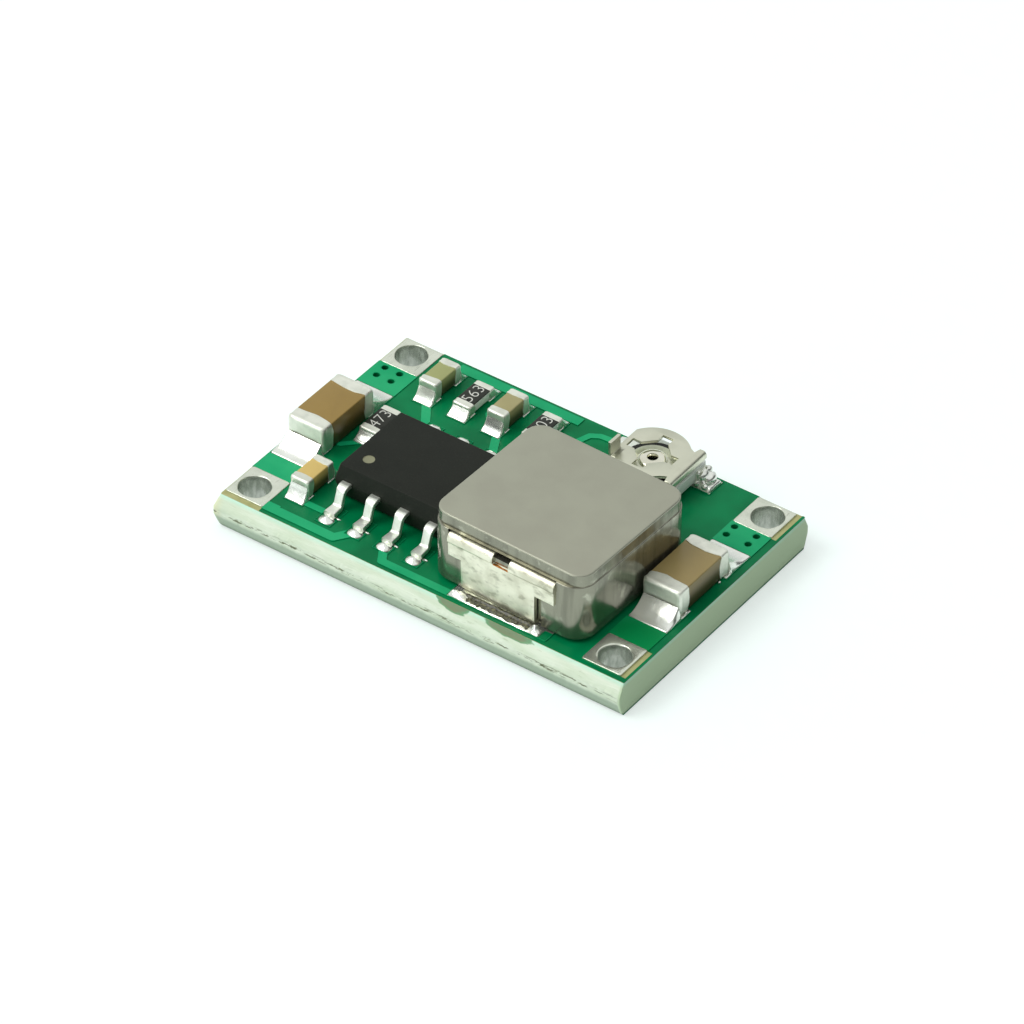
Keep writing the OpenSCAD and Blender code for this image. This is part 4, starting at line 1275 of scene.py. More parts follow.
def new_tree(name: str, sizes: Sequence[str]) -> tuple[Tree, Node]:
    """Starts a geometry tree with named inputs.

    Args:
        name: the tree's name.
        sizes: names of its inputs, all lengths.

    Returns:
        The tree and its input node.
    """
    tree = bpy.data.node_groups.new(name, "GeometryNodeTree")
    kinds = ["Geometry", *(["Float"] * len(sizes)), "Material"]
    for label, kind in zip(("Geometry", *sizes, "Finish"), kinds):
        tree.interface.new_socket(label, in_out="INPUT", socket_type="NodeSocket" + kind)
    tree.interface.new_socket("Geometry", in_out="OUTPUT", socket_type="NodeSocketGeometry")
    return tree, add(tree, "NodeGroupInput")


def on_points(tree: Tree, source: Node, points: Socket, links: dict[str, object]) -> Tree:
    """Ends a geometry tree: a copy on every point, made real and given the material.

    Args:
        tree: the tree.
        source: its input node.
        points: the points.
        links: the copied piece and how it is turned and scaled, by input name.

    Returns:
        The tree.
    """
    copies = add(tree, "GeometryNodeInstanceOnPoints", {"Points": points, **links})
    real = add(tree, "GeometryNodeRealizeInstances", {"Geometry": copies.outputs[0]})
    dressed = {"Geometry": real.outputs[0], "Material": source.outputs["Finish"]}
    done = add(tree, "GeometryNodeSetMaterial", dressed)
    add(tree, "NodeGroupOutput", {0: done.outputs[0]})
    return tree


def section_of(tree: Tree, width: Socket, height: Socket, edge: Socket) -> Socket:
    """Adds a rectangular section with rounded corners.

    Args:
        tree: the tree.
        width: its width.
        height: its height.
        edge: radius of its corners.

    Returns:
        The socket of the curve.
    """
    links = {"Width": width, "Height": height}
    flat = add(tree, "GeometryNodeCurvePrimitiveQuadrilateral", links)
    links = {"Curve": flat.outputs[0], "Radius": edge, "Count": 3}
    return add(tree, "GeometryNodeFilletCurve", links, mode="POLY").outputs[0]


def vector_math(tree: Tree, operation: str, first: Socket, second: Socket) -> Socket:
    """Adds one sum on two vectors and returns its socket."""
    links = {0: first, 1: second}
    return add(tree, "ShaderNodeVectorMath", links, operation=operation).outputs[0]


def grown(name: str, mesh: Mesh, tree: Tree, values: dict[str, float], finish: Finish) -> Mesh:
    """Runs a geometry tree on a mesh.

    Args:
        name: name of the passing object.
        mesh: points or lines that carry the pattern.
        tree: the tree.
        values: its named inputs, in millimetres.
        finish: material of what it makes.

    Returns:
        A plain mesh.
    """
    carrier = helper(name + "_carrier", mesh)
    modifier = carrier.modifiers.new(name, "NODES")
    modifier.node_group = tree
    given = {key: value * MM for key, value in values.items()} | {"Finish": finish.material()}
    for item in tree.interface.items_tree:
        if item.in_out == "INPUT" and item.name in given:
            modifier[item.identifier] = given[item.name]
    made = evaluated(carrier)
    with editing(made) as bm:
        shade(bm, 40.0)
    return made


def barrel_tree() -> Tree:
    """A tube with rolled lips, set on every point. Inputs: Bore Radius, Wall, Height, Lip."""
    tree, source = new_tree("via_barrel", ("Bore Radius", "Wall", "Height", "Lip"))
    out = source.outputs
    art = Artwork(tree, out[0])
    middle = art.math("ADD", out["Bore Radius"], art.times(out["Wall"], 0.5))
    circle = add(tree, "GeometryNodeCurvePrimitiveCircle", {"Resolution": 28, "Radius": middle})
    section = section_of(tree, out["Wall"], out["Height"], out["Lip"])
    links = {"Curve": circle.outputs[0], "Profile Curve": section}
    wall = add(tree, "GeometryNodeCurveToMesh", links)
    up = add(tree, "ShaderNodeCombineXYZ", {2: art.times(out["Height"], 0.5)})
    links = {"Geometry": wall.outputs[0], "Translation": up.outputs[0]}
    raised = add(tree, "GeometryNodeTransform", links)
    points = add(tree, "GeometryNodeMeshToPoints", {"Mesh": out["Geometry"]})
    return on_points(tree, source, points.outputs[0], {"Instance": raised.outputs[0]})


def lead_tree() -> Tree:
    """Strip bent along a line, set on every point and turned by its attribute.

    Inputs: Width, Thickness, Edge. The carrier holds the bent line as its edges, and the
    places as loose points with the attribute turn.
    """
    tree, source = new_tree("bent_lead", ("Width", "Thickness", "Edge"))
    out = source.outputs
    turn, place, waist = (
        add(tree, "GeometryNodeInputNamedAttribute", {"Name": name}, data_type="FLOAT").outputs[0]
        for name in LEAD_ATTRIBUTES
    )
    is_place = add(tree, "FunctionNodeCompare", {0: place, 1: 0.5}, operation="GREATER_THAN")
    links = {"Geometry": out["Geometry"], "Selection": is_place.outputs[0]}
    split = add(tree, "GeometryNodeSeparateGeometry", links).outputs
    line = add(tree, "GeometryNodeMeshToCurve", {"Mesh": split["Inverted"]})
    upright = add(tree, "GeometryNodeSetCurveNormal", {"Curve": line.outputs[0]}, mode="Z_UP")
    section = section_of(tree, out["Width"], out["Thickness"], out["Edge"])
    links = {"Curve": upright.outputs[0], "Profile Curve": section, "Fill Caps": True}
    strip = add(tree, "GeometryNodeCurveToMesh", links)
    factor = add(tree, "ShaderNodeCombineXYZ", {0: waist, 1: 1.0, 2: 1.0})
    here = add(tree, "GeometryNodeInputPosition")
    slim = vector_math(tree, "MULTIPLY", here.outputs[0], factor.outputs[0])
    shaped = add(tree, "GeometryNodeSetPosition", {"Geometry": strip.outputs[0], "Position": slim})
    points = add(tree, "GeometryNodeMeshToPoints", {"Mesh": split["Selection"]})
    angle = add(tree, "ShaderNodeCombineXYZ", {2: turn})
    links = {"Instance": shaped.outputs[0], "Rotation": angle.outputs[0]}
    return on_points(tree, source, points.outputs[0], links)


def fibre_tree() -> Tree:
    """Torn glass fibres along a line, strewn by fixed seeds.

    Inputs: Spacing, Length and Radius of the fibres, Rise up and down, Reach sideways.
    """
    tree, source = new_tree("torn_fibres", ("Spacing", "Length", "Radius", "Rise", "Reach"))
    out = source.outputs

    def random_vector(reach: Point, seed: int) -> Socket:
        """Adds a random vector within a box about the origin and returns its socket."""
        links = {"Min": tuple(-r for r in reach), "Max": reach, "Seed": seed}
        return add(tree, "FunctionNodeRandomValue", links, data_type="FLOAT_VECTOR").outputs[0]

    line = add(tree, "GeometryNodeMeshToCurve", {"Mesh": out["Geometry"]})
    links = {"Curve": line.outputs[0], "Length": out["Spacing"]}
    points = add(tree, "GeometryNodeCurveToPoints", links, mode="LENGTH").outputs
    amount = add(tree, "ShaderNodeCombineXYZ", {0: out["Reach"], 1: out["Reach"], 2: out["Rise"]})
    spread = vector_math(tree, "MULTIPLY", random_vector((1.0, 1.0, 1.0), 3), amount.outputs[0])
    links = {"Geometry": points["Points"], "Offset": spread}
    loose = add(tree, "GeometryNodeSetPosition", links)
    links = {"Vertices": 5, "Radius": out["Radius"], "Depth": out["Length"]}
    rod = add(tree, "GeometryNodeMeshCylinder", links)
    links = {"Vector": points["Tangent"]}
    along = add(tree, "FunctionNodeAlignEulerToVector", links, axis="Z").outputs[0]
    turned = vector_math(tree, "ADD", along, random_vector((0.12, 0.16, 0.16), 8))
    links = {2: 0.5, 3: 1.4, "Seed": 5}
    size = add(tree, "FunctionNodeRandomValue", links, data_type="FLOAT")
    links = {"Instance": rod.outputs["Mesh"], "Rotation": turned, "Scale": size.outputs[1]}
    return on_points(tree, source, loose.outputs[0], links)


# ---------- the regulator ----------


@dataclass
class Regulator:
    """The eight-lead moulded package with its gull-wing leads and solder."""

    draft: float = 0.14
    corner: float = 0.06
    edge: float = 0.035
    lead_w: float = 0.42
    lead_t: float = 0.2
    shoulder: float = 0.115
    bend: float = 0.22
    turn_deg: float = 70.0
    foot: float = 0.38
    pitch: float = 1.27
    slim: float = 0.4
    blob: Flat = (0.28, 0.22)
    collar: Point = (0.36, 0.68, 0.43)
    dot: Flat = (0.83, 0.93)
    dot_r: float = 0.22

    def __post_init__(self) -> None:
        """Reads the boxes of the body and the leads."""
        self.body = Box.of("ic_body")
        self.leads = Box.of("ic_leads")
        self.lead_z = self.leads.hi[2] - self.lead_t / 2

    def package(self) -> None:
        """Makes the moulded body: drafted sides, a parting ridge and the first lead's dimple."""
        lo, hi, mid = self.body.lo, self.body.hi, self.body.mid
        size = self.body.size
        half = self.lead_t / 2
        lower, upper = eased(lo[2], hi[2], self.edge, 4)
        levels = [(self.draft + i, z) for i, z in lower]
        for away in (-half, -0.012, 0.012, half):
            levels.append((0.012 * (abs(away) == half), self.lead_z + away))
        levels += [(self.draft + i, z) for i, z in upper]
        block = stacked(size[:2], mid[:2], levels, lambda _: self.corner, (4, 3))
        x, y = lo[0] + self.dot[0], lo[1] + self.dot[1]
        r, top = self.dot_r, hi[2]
        dish = [(0.002, -0.03), (r * 0.7, -0.028), (r * 0.95, -0.02), (r, 0.0)]
        dimple = lathe([*dish, (r, 0.1), (0.002, 0.1)], (x, y, top), 48)
        finish = Epoxy(dot=(x, y, top), dot_r=r)
        Piece("regulator_body", finish, "moulded_epoxy", ["ic_body"]).from_mesh(
            carved(block, [dimple], 25.0)
        )

    def lead_line(self) -> list[Flat]:
        """The middle line of a lead, outwards from the body's face."""
        turn = radians(self.turn_deg)
        reach = self.bend * tan(turn / 2)
        foot_z = self.leads.lo[2] + self.lead_t / 2
        first = self.shoulder + reach
        second = first + (self.lead_z - foot_z) / tan(turn)
        corners = [
            (-0.25, self.lead_z),
            (first, self.lead_z),
            (second, foot_z),
            (second + reach + self.foot, foot_z),
        ]
        return bent(corners, (self.bend, self.bend))

    def wires(self) -> None:
        """Makes the eight leads from one bent strip, placed and turned on points."""
        line = self.lead_line()
        verts = [Vector((0, u, z)) * MM for u, z in line]
        edges = [(k, k + 1) for k in range(len(line) - 1)]
        spots = [(x, side) for x in self.lead_xs() for side in Side]
        for x, side in spots:
            y = self.body.end(side)
            verts.append(Vector((x, y, 0)) * MM)
        mesh = bpy.data.meshes.new("lead_carrier")
        mesh.from_pydata(verts, edges, [])
        turn, place, waist = (
            mesh.attributes.new(name, "FLOAT", "POINT") for name in LEAD_ATTRIBUTES
        )
        middle = (line[0][1] + line[-1][1]) / 2
        for k, (_, z) in enumerate(line):
            flare = 0.12 * (k == len(line) - 1)
            waist.data[k].value = 1 + flare - self.slim * exp(-(((z - middle) / 0.22) ** 2))
        for k, (_, side) in enumerate(spots, len(line)):
            turn.data[k].value = pi if side is Side.MINUS else 0.0
            place.data[k].value = 1.0
        values = {"Width": self.lead_w, "Thickness": self.lead_t, "Edge": 0.035}
        made = grown("regulator_leads", mesh, lead_tree(), values, Finishes.PLATED)
        Piece("regulator_leads", Finishes.PLATED, "tinned_metal", ["ic_leads"]).from_mesh(made)

    def lead_xs(self) -> list[float]:
        """The four lead positions along the body."""
        mid = self.body.mid[0]
        return [mid + (k - 1.5) * self.pitch for k in range(4)]

    def joints(self) -> None:
        """Makes the solder at the eight feet, in round pads, and a splash beside each."""
        pads = Box.of("ic_solder")
        whole = Shape()
        collars = []
        for x in self.lead_xs():
            for side in Side:
                sign = side.value
                end = self.leads.end(side)
                mid_y = end + sign * 0.165

                def height(px: float, py: float) -> float:
                    """Height of one blob, fullest in its middle."""
                    far = hypot((px - x) / self.blob[0], (py - mid_y) / self.blob[1])
                    lump = 0.02 * sheet_noise(px, py, x, 0.2)
                    return 0.05 + 0.12 * exp(-((far / 0.75) ** 2)) + lump

                low, high = mid_y - self.blob[1] - 0.02, mid_y + self.blob[1] + 0.02
                lo, hi = (x - self.blob[0] - 0.02, low), (x + self.blob[0] + 0.02, high)
                whole.join(Pool(lo, hi, pads.lo[2], 0.24, 0.14).shape(height))
                wisp = (x + 0.31, end - sign * 0.1, pads.lo[2] + 0.02)
                whole.join(bead(wisp, (0.12, 0.035, 0.025), 0.5, 8))
                ahead = self.collar[1:] if side is Side.MINUS else self.collar[:0:-1]
                a, b = end - ahead[1], end + ahead[0]
                wide = self.collar[0]
                rim = [(sx * wide, y) for sx, y in ((-1, a), (1, a), (1, b), (-1, b))]
                round_part = arc(1.0, 0, 360, 32)[:-1]
                oval = [(self.blob[0] * c, mid_y + self.blob[1] * s) for c, s in round_part]
                at = (x, 0.0, pads.lo[2] - 0.0015)
                collars.append(sheet_metal([rim, oval], 0.006, 0.002, at))
        box = Box.of("inductor_solder")
        edge = [(4.99, -5.43), (5.4, -5.43), (5.4, -4.9), (4.99, -4.9)]
        collars.append(sheet_metal([edge], 0.006, 0.002, (0.0, 0.0, box.lo[2] - 0.0015)))
        mesh = bpy.data.meshes.new("mask_collars")
        with editing(mesh) as bm:
            for collar in collars:
                bm.from_mesh(collar)
        Piece("mask_collars", Finishes.MASK, "solder_mask").from_mesh(mesh)
        solder("regulator_solder", "ic_solder", whole)

    def dress(self) -> None:
        """Builds the package, leads and solder."""
        self.package()
        self.wires()
        self.joints()


# ---------- the inductor ----------


@dataclass
class Inductor:
    """The moulded power inductor with its two folded strip terminals."""

    length: float = 6.68
    width: float = 6.34
    turn_deg: float = -1.6
    corner: float = 0.82
    slab: float = 0.5
    slab_in: Flat = (0.04, 0.14)
    slab_corner: float = 0.64
    bevel: float = 0.07
    clip_shift: float = 0.11
    clip_t: float = 0.15
    clip_out: float = 0.06
    bar_w: float = 4.6
    bar_h: float = 0.98
    bar_drop: float = 0.1
    leg_w: float = 3.2
    leg_shift: float = 0.14
    notch_w: float = 0.7
    notch_h: float = 0.42
    bar_out: float = 0.07
    roll: float = 0.26
    tuck: float = 0.5
    foot: float = 1.5
    room: float = 0.26
    pad_w: float = 3.9
    pad_depth: float = 1.6

    def __post_init__(self) -> None:
        """Reads the boxes of the core and its terminals."""
        self.box = Box.of("inductor_core")
        self.seat = Box.of("inductor_clip_front").lo[2]
        self.mid = self.box.mid
        self.ledge = self.box.hi[2] - self.slab
        self.bar_top = self.ledge - self.bar_drop

    def turned(self, point: Vector) -> Vector:
        """Turns a point about the core's axis from its own directions to the board's."""
        spin = Matrix.Rotation(radians(self.turn_deg), 3, "Z")
        out = spin @ Vector((point.x, point.y, 0.0))
        return Vector((out.x + self.mid[0], out.y + self.mid[1], point.z))

    def on_face(self, side: Side) -> Mapping:
        """Gives the mapping from a terminal face (along, outwards, height) to the board."""

        def place(along: float, outward: float, up: float) -> Point:
            """Places one point."""
            y = side.value * (self.width / 2 + outward)
            return tuple(self.turned(Vector((along - self.clip_shift, y, up))))

        return place

    def core(self) -> None:
        """Makes the pressed core: body, ledge and bevelled slab, with recesses for the strips."""
        low, high = self.box.lo[2], self.box.hi[2]
        full = (self.length, self.width)
        slab = tuple(f - 2 * i for f, i in zip(full, self.slab_in))
        wide, narrow = (full, self.corner), (slab, self.slab_corner)
        levels = [(wide, inset, low + up) for inset, up in edge_steps(0.05, 3)]
        levels.append((wide, 0.0, low + (self.ledge - low) * 0.5))
        levels += [(wide, inset, self.ledge - up) for inset, up in reversed(edge_steps(0.035, 3))]
        levels.append((narrow, -0.004, self.ledge + 0.004))
        levels += [(narrow, 0.0, z) for z in (self.ledge + 0.03, high - self.bevel * 1.4)]
        levels += [(narrow, i, high - up) for i, up in reversed(edge_steps(self.bevel, 5))]
        rings = []
        for (size, corner), inset, z in levels:
            flat = (size[0] - 2 * inset, size[1] - 2 * inset)
            rings.append(level_ring(flat, corner - inset, z, bend=14, run=6))
        block = Shape.loft(rings).moved(self.turned)
        cutters = []
        bar, drop = self.bar_w / 2, self.bar_top - self.clip_t - 0.01
        x0 = -self.leg_w / 2 - self.leg_shift - 0.02
        top = low + 0.5 * (self.ledge - low) + 0.06
        for side in Side:
            for across, depth, heights in (
                ((x0, x0 + self.leg_w + self.room + 0.02), self.clip_t - 0.02, (low - 1, top)),
                ((-bar - 0.05, bar + 0.05), self.clip_t, (self.bar_top - 0.02, self.ledge)),
                ((-bar - 0.02, bar + 0.02), self.clip_t + 0.35, (drop, self.bar_top + 0.02)),
            ):
                cutters.append(self.slot(self.on_face(side), across, depth, heights))
        mesh = carved(block, cutters, 32.0)
        made = Piece("inductor_pressed_core", Finishes.POWDER, "moulded_powder", ["inductor_core"])
        made.from_mesh(mesh)

    def slot(self, place: Mapping, across: Flat, depth: float, levels: Flat) -> Shape:
        """A straight recess in a terminal face.

        Args:
            place: the face's mapping.
            across: its ends along the face.
            depth: how deep it goes.
            levels: its lowest and highest level.

        Returns:
            The cutter.
        """
        rings = []
        for z in levels:
            a, b = across
            corners = [(a, 1.0), (a, -depth), (b, -depth), (b, 1.0)]
            rings.append([place(x, y, z) for x, y in corners])
        return Shape.loft(rings)

    def strip_line(self) -> list[Flat]:
        """The outer surface of a terminal strip, from inside the core over the roll and under."""
        out, back = self.clip_out, self.clip_out - self.roll
        top, fat = self.bar_top, self.bar_out
        corners = [
            (back - self.tuck, top),
            (out + fat, top),
            (out + fat, top - self.notch_h + 0.07),
            (out + fat * 0.3, top - self.notch_h),
            (out, self.seat),
            (back - self.foot, self.seat),
        ]
        return bent(corners, (self.roll, 0.06, 0.06, self.roll), 7)

    def terminal(self, side: Side) -> None:
        """Makes one terminal: a strip with a wide notched bar, a leg and a foot.

        Args:
            side: the face it lies on.
        """
        line = []
        for (u0, v0), (u1, v1) in zip(self.strip_line(), self.strip_line()[1:]):
            steps = max(1, ceil(hypot(u1 - u0, v1 - v0) / 0.06))
            line += [
                (u0 + (u1 - u0) * k / steps, v0 + (v1 - v0) * k / steps) for k in range(steps)
            ]
        line.append(self.strip_line()[-1])
        leg = (-self.leg_w / 2 - self.leg_shift, self.leg_w / 2 - self.leg_shift)
        bar, notch = self.bar_w / 2, self.notch_w / 2
        stops = sorted((-bar, bar, *leg, -notch, notch))
        columns = []
        for a, b in zip(stops, stops[1:]):
            steps = max(2, round((b - a) / 0.09))
            columns += [a + (b - a) * k / steps for k in range(steps)]
        columns.append(stops[-1])
        bar_low = self.bar_top - self.bar_h
        notch_low = self.bar_top - self.notch_h
        place = self.on_face(side)
        made = Shape()
        for u, v in line:
            for x in columns:
                lift = 0.012 * sheet_noise(x, v, side.value * 3.0, 0.5)
                wave = 0.014 * sheet_noise(x, 5.0, u, 0.4) if v > bar_low else 0.0
                made.verts.append(place(x, u + lift * (v > self.seat + 0.3), v + wave * (u > 0)))
        row = len(columns)
        for j, ((u0, v0), (u1, v1)) in enumerate(zip(line, line[1:])):
            level = (v0 + v1) / 2
            for i, (x0, x1) in enumerate(zip(columns, columns[1:])):
                x = (x0 + x1) / 2
                in_bar = level > bar_low and not (abs(x) < self.notch_w / 2 and level > notch_low)
                in_leg = leg[0] < x < leg[1] and level <= bar_low
                if in_bar or in_leg:
                    a = j * row + i
                    made.faces.append((a, a + row, a + row + 1, a + 1))
        end = "front" if side is Side.MINUS else "back"
        name, node = "inductor_terminal_" + end, "inductor_clip_" + end
        Piece(name, Finishes.STRIP, "tinned_copper", [node]).from_mesh(
            thickened(made, self.clip_t, side is Side.PLUS, 0.03)
        )
        rim = self.clip_out + self.bar_out * 0.3
        edge = rounded_block(
            (-self.notch_w / 2 + 0.012, rim - self.clip_t, notch_low - 0.03),
            (self.notch_w / 2 - 0.012, rim + 0.012, notch_low + 0.02),
            0.012,
            3,
        ).moved(lambda v: Vector(place(*v)))
        Piece(name + "_sheared_edge", Finishes.COPPER_EDGE, "tinned_copper").from_shape(edge)

    def joints(self) -> None:
        """Makes the solder of both pads: films, a thin ragged rim and two lumps in front."""
        box = Box.of("inductor_solder")
        x0 = box.lo[0]
        x1 = x0 + self.pad_w
        base = box.lo[2]
        whole = Shape()
        lumps = ((1.5, -5.15, 0.34, 0.16, 0.2), (4.82, -5.13, 0.22, 0.16, 0.24))

        def front(px: float, py: float) -> float:
            """Height of the front pad's solder."""
            up = 0.03 + 0.01 * sheet_noise(px, py, 0.0, 0.25)
            rim = exp(-(((py - low - 0.05) / 0.03) ** 2))
            up += 0.05 * rim * max(0.3 + sheet_noise(px, 0.0, 0.0, 0.16), 0.0)
            for cx, cy, rx, ry, rise in lumps:
                far = ((px - cx) / rx) ** 2 + ((py - cy) / ry) ** 2
                ragged = 1 + 0.55 * sheet_noise(px, py, 2.0, 0.13)
                up += rise * exp(-far * 1.2) * ragged
            return up

        def back(px: float, py: float) -> float:
            """Height of the back pad's solder."""
            far = abs(py - (self.box.hi[1] + 0.06))
            return 0.035 + 0.1 * exp(-((far / 0.12) ** 2))

        low, high = box.lo[1], box.hi[1]
        pool = Pool((x0, low), (x1, low + self.pad_depth), base, 0.1, 0.06, 70)
        whole.join(pool.shape(front))
        pool = Pool((x0, high - self.pad_depth), (x1, high), base, 0.1, 0.06, 40)
        whole.join(pool.shape(back))
        solder("inductor_joints", "inductor_solder", whole)

    def flux(self) -> None:
        """Makes the dried flux between the lumps of solder in front."""
        box = Box.of("inductor_solder")
        y0, face = box.lo[1] + 0.02, self.box.lo[1] - self.clip_out
        pool = Pool((1.72, y0), (4.74, y0 + 0.42), box.lo[2] + 0.01, 0.1, 0.05, 84)

        def height(px: float, py: float) -> float:
            """Height of the flux."""
            rough = sheet_noise(px, py, 4.0, 0.3) + 0.6 * sheet_noise(px, py, 7.0, 0.1)
            near = exp(-(((py - y0) / 0.09) ** 2))
            climb = 0.05 * exp(-((max(face - py, 0.0) / 0.05) ** 2))
            ragged = near * (0.045 + 0.09 * sheet_noise(px, 3.0, 0.0, 0.14))
            return 0.055 + 0.035 * rough + climb - ragged

        Piece("flux_residue", Finishes.FLUX, "solder").from_shape(pool.shape(height), SMOOTH_DEG)

    def dress(self) -> None:
        """Builds the core, its terminals and their solder."""
        self.core()
        for side in Side:
            self.terminal(side)
        self.joints()
        self.flux()


def thickened(skin: Shape, thickness: float, flip: bool, edge: float) -> Mesh:
    """Gives an open skin its thickness, inwards, and eases its edges.

    Args:
        skin: the outer surface.
        thickness: the wall.
        flip: turns the skin's faces round first.
        edge: width of the eased edges.

    Returns:
        The mesh.
    """
    mesh = bpy.data.meshes.new("skin")
    faces = [tuple(reversed(f)) if flip else f for f in skin.faces]
    mesh.from_pydata([Vector(v) * MM for v in skin.verts], [], faces)
    with editing(mesh) as bm:
        loose = [v for v in bm.verts if not v.link_faces]
        bmesh.ops.delete(bm, geom=loose, context="VERTS")
    carrier = helper("skin", mesh)
    solid = carrier.modifiers.new("wall", "SOLIDIFY")
    solid.thickness, solid.offset = thickness * MM, -1.0
    bevel = carrier.modifiers.new("edge", "BEVEL")
    bevel.width, bevel.segments = edge * MM, 2
    bevel.limit_method, bevel.angle_limit = "ANGLE", radians(50)
    made = evaluated(carrier)
    with editing(made) as bm:
        shade(bm, 45.0)
    return made


# ---------- chips ----------


@dataclass
class Chip:
    """A ceramic chip between plated ends, lying along Y on two pads."""

    key: str
    ceramic: Finish
    slot: str
    band: float
    pad_len: float
    rise: float
    spread: float = 0.3
    hollow: float = 2.3
    end_r: float = 0.15
    body_r: float = 0.045
    edge_r: float = 0.07
    lip: float = 0.022
    bow: float = 0.05
    digits: str = ""
    digit_h: float = 0.5
    seed: float = 0.0
    drops: tuple[tuple[Point, Point], ...] = ()

    def __post_init__(self) -> None:
        """Reads the boxes of the chip."""
        self.body = Box.of(self.key + "_body")
        self.ends = Box.of(self.key + "_ends")
        self.pads = Box.of(self.key + "_solder")

    def piece(self, name: str, finish: Finish, slot: str, *nodes: str) -> Piece:
        """Starts a piece under the chip's name, for the named ones of its solids."""
        return Piece(f"{self.key}_{name}", finish, slot, [f"{self.key}_{node}" for node in nodes])

    def block(self) -> None:
        """Makes the ceramic block."""
        (x0, y0, z0), (x1, y1, z1) = self.body.lo, self.body.hi
        back = self.end_r - self.body_r
        shape = rounded_block((x0, y0 + back, z0), (x1, y1 - back, z1), self.body_r)
        self.piece("ceramic", self.ceramic, self.slot, "body").from_shape(shape)

    def cap(self, side: Side) -> Shape:
        """One plated end: a cup with a wavy lip that is thickest just behind it.

        Args:
            side: which end.

        Returns:
            The shape.
        """
        sign = side.value
        lo, hi, mid = self.ends.lo, self.ends.hi, self.ends.mid
        size = (hi[0] - lo[0], hi[2] - lo[2])
        end = self.ends.end(side)
        wall = self.body.lo[0] - lo[0]
        centre = (mid[0], (lo[2] + hi[2]) / 2)

        def ring(depth: float, inset: float, wavy: float, radius: float) -> Ring:
            """A ring at a depth from the end face."""
            points = []
            flat = outline(size[0] - 2 * inset, size[1] - 2 * inset, radius, 5, 8)
            half = (size[0] / 2 - inset, size[1] / 2 - inset)
            for a, b in flat:
                along = min(abs(a) / half[0], abs(b) / half[1])
                shift = wavy / 0.06 * self.bow * (1 - along * along)
                shift += wavy * (
                    sheet_noise(a, b, self.seed + sign * 9, 0.5)
                    + 0.4 * sheet_noise(a, b, self.seed + sign * 5, 0.18)
                )
                points.append((centre[0] + a, end - sign * (depth + shift), centre[1] + b))
            return points

        rings = [ring(0.02, min(size) * 0.36, 0.0, 0.04), ring(0.006, self.end_r * 1.3, 0.0, 0.07)]
        for inset, down in edge_steps(self.end_r, 5):
            soft = self.edge_r + (self.end_r - self.edge_r * 0.5) * (1 - down / self.end_r)
            rings.append(ring(down, inset * 0.8, 0.0, soft))
        # the dip leaves the plating fullest at the rim of the end and at the lip
        waist = 0.02 if self.band > 0.4 else 0.012
        for share in (0.35, 0.6):
            rings.append(ring(self.band * share, waist * share, 0.02 * share, self.edge_r))
        rings += [
            ring(self.band * 0.86, 0.0, 0.05, self.edge_r),
            ring(self.band - self.lip * 0.4, 0.006, 0.06, self.edge_r),
            ring(self.band, wall * 0.7, 0.06, self.edge_r * 0.8),
            ring(self.band, wall + 0.012, 0.06, self.body_r),
            ring(self.end_r + 0.01, wall + 0.012, 0.0, self.body_r),
        ]
        return Shape.loft(rings)

    def plating(self) -> None:
        """Makes both plated ends."""
        whole = Shape()
        for side in Side:
            whole.join(self.cap(side))
        self.piece("plating", Finishes.BANDS, "plated_ends", "ends").from_shape(whole, 45.0)

    def joints(self) -> None:
        """Makes the solder on both pads: a film under the chip and a hollow slope at its end."""
        whole = Shape()
        pads, ends = self.pads, self.ends
        half = ends.size[0] / 2
        for side in Side:
            sign = side.value
            end, outer = ends.end(side), pads.end(side)
            low, high = sorted((outer, outer - sign * self.pad_len))
            reach = abs(outer - end)

            def height(px: float, py: float) -> float:
                """Height of one pad's solder."""
                beyond = sign * (py - end)
                if beyond < -0.01:
                    return 0.038
                across = max(abs(px - ends.mid[0]) - half + 0.06, 0.0)
                fall = max(1 - max(beyond, 0.0) / (reach * self.spread * 3), 0.0)
                slope = self.rise * fall**self.hollow * exp(-((across / 0.1) ** 2))
                lump = 0.005 * sheet_noise(px, py, self.seed, 0.3)
                film = 0.045 + 0.03 * sin(pi * min(max(beyond, 0) / reach, 1))
                return film + slope + lump

            pool = Pool(
                (pads.lo[0] - 0.015, low), (pads.hi[0] + 0.015, high), pads.lo[2], 0.08, 0.05, 56
            )
            whole.join(pool.shape(height))
        for place, reach in self.drops:
            whole.join(bead(place, reach, 0.1, 10))
        solder(self.key + "_joints", self.key + "_solder", whole)

    def glaze(self) -> None:
        """Makes a resistor's black overglaze and its printed digits."""
        box = Box.of(self.key + "_glaze")
        (x0, y0, z0), (x1, y1, z1) = box.lo, box.hi
        shape = rounded_block((x0, y0 - 0.02, z0 - 0.02), (x1, y1 + 0.02, z1), 0.018, 3)
        self.piece("overglaze", Finishes.GLASS, "resistor_glass", "glaze").from_shape(shape)
        print_digits(
            self.key + "_digits",
            self.digits,
            self.digit_h,
            (box.mid[0], box.mid[1], box.hi[2] + 0.001),
        )

    def dress(self) -> None:
        """Builds the chip."""
        self.block()
        self.plating()
        self.joints()
        if self.digits:
            self.glaze()


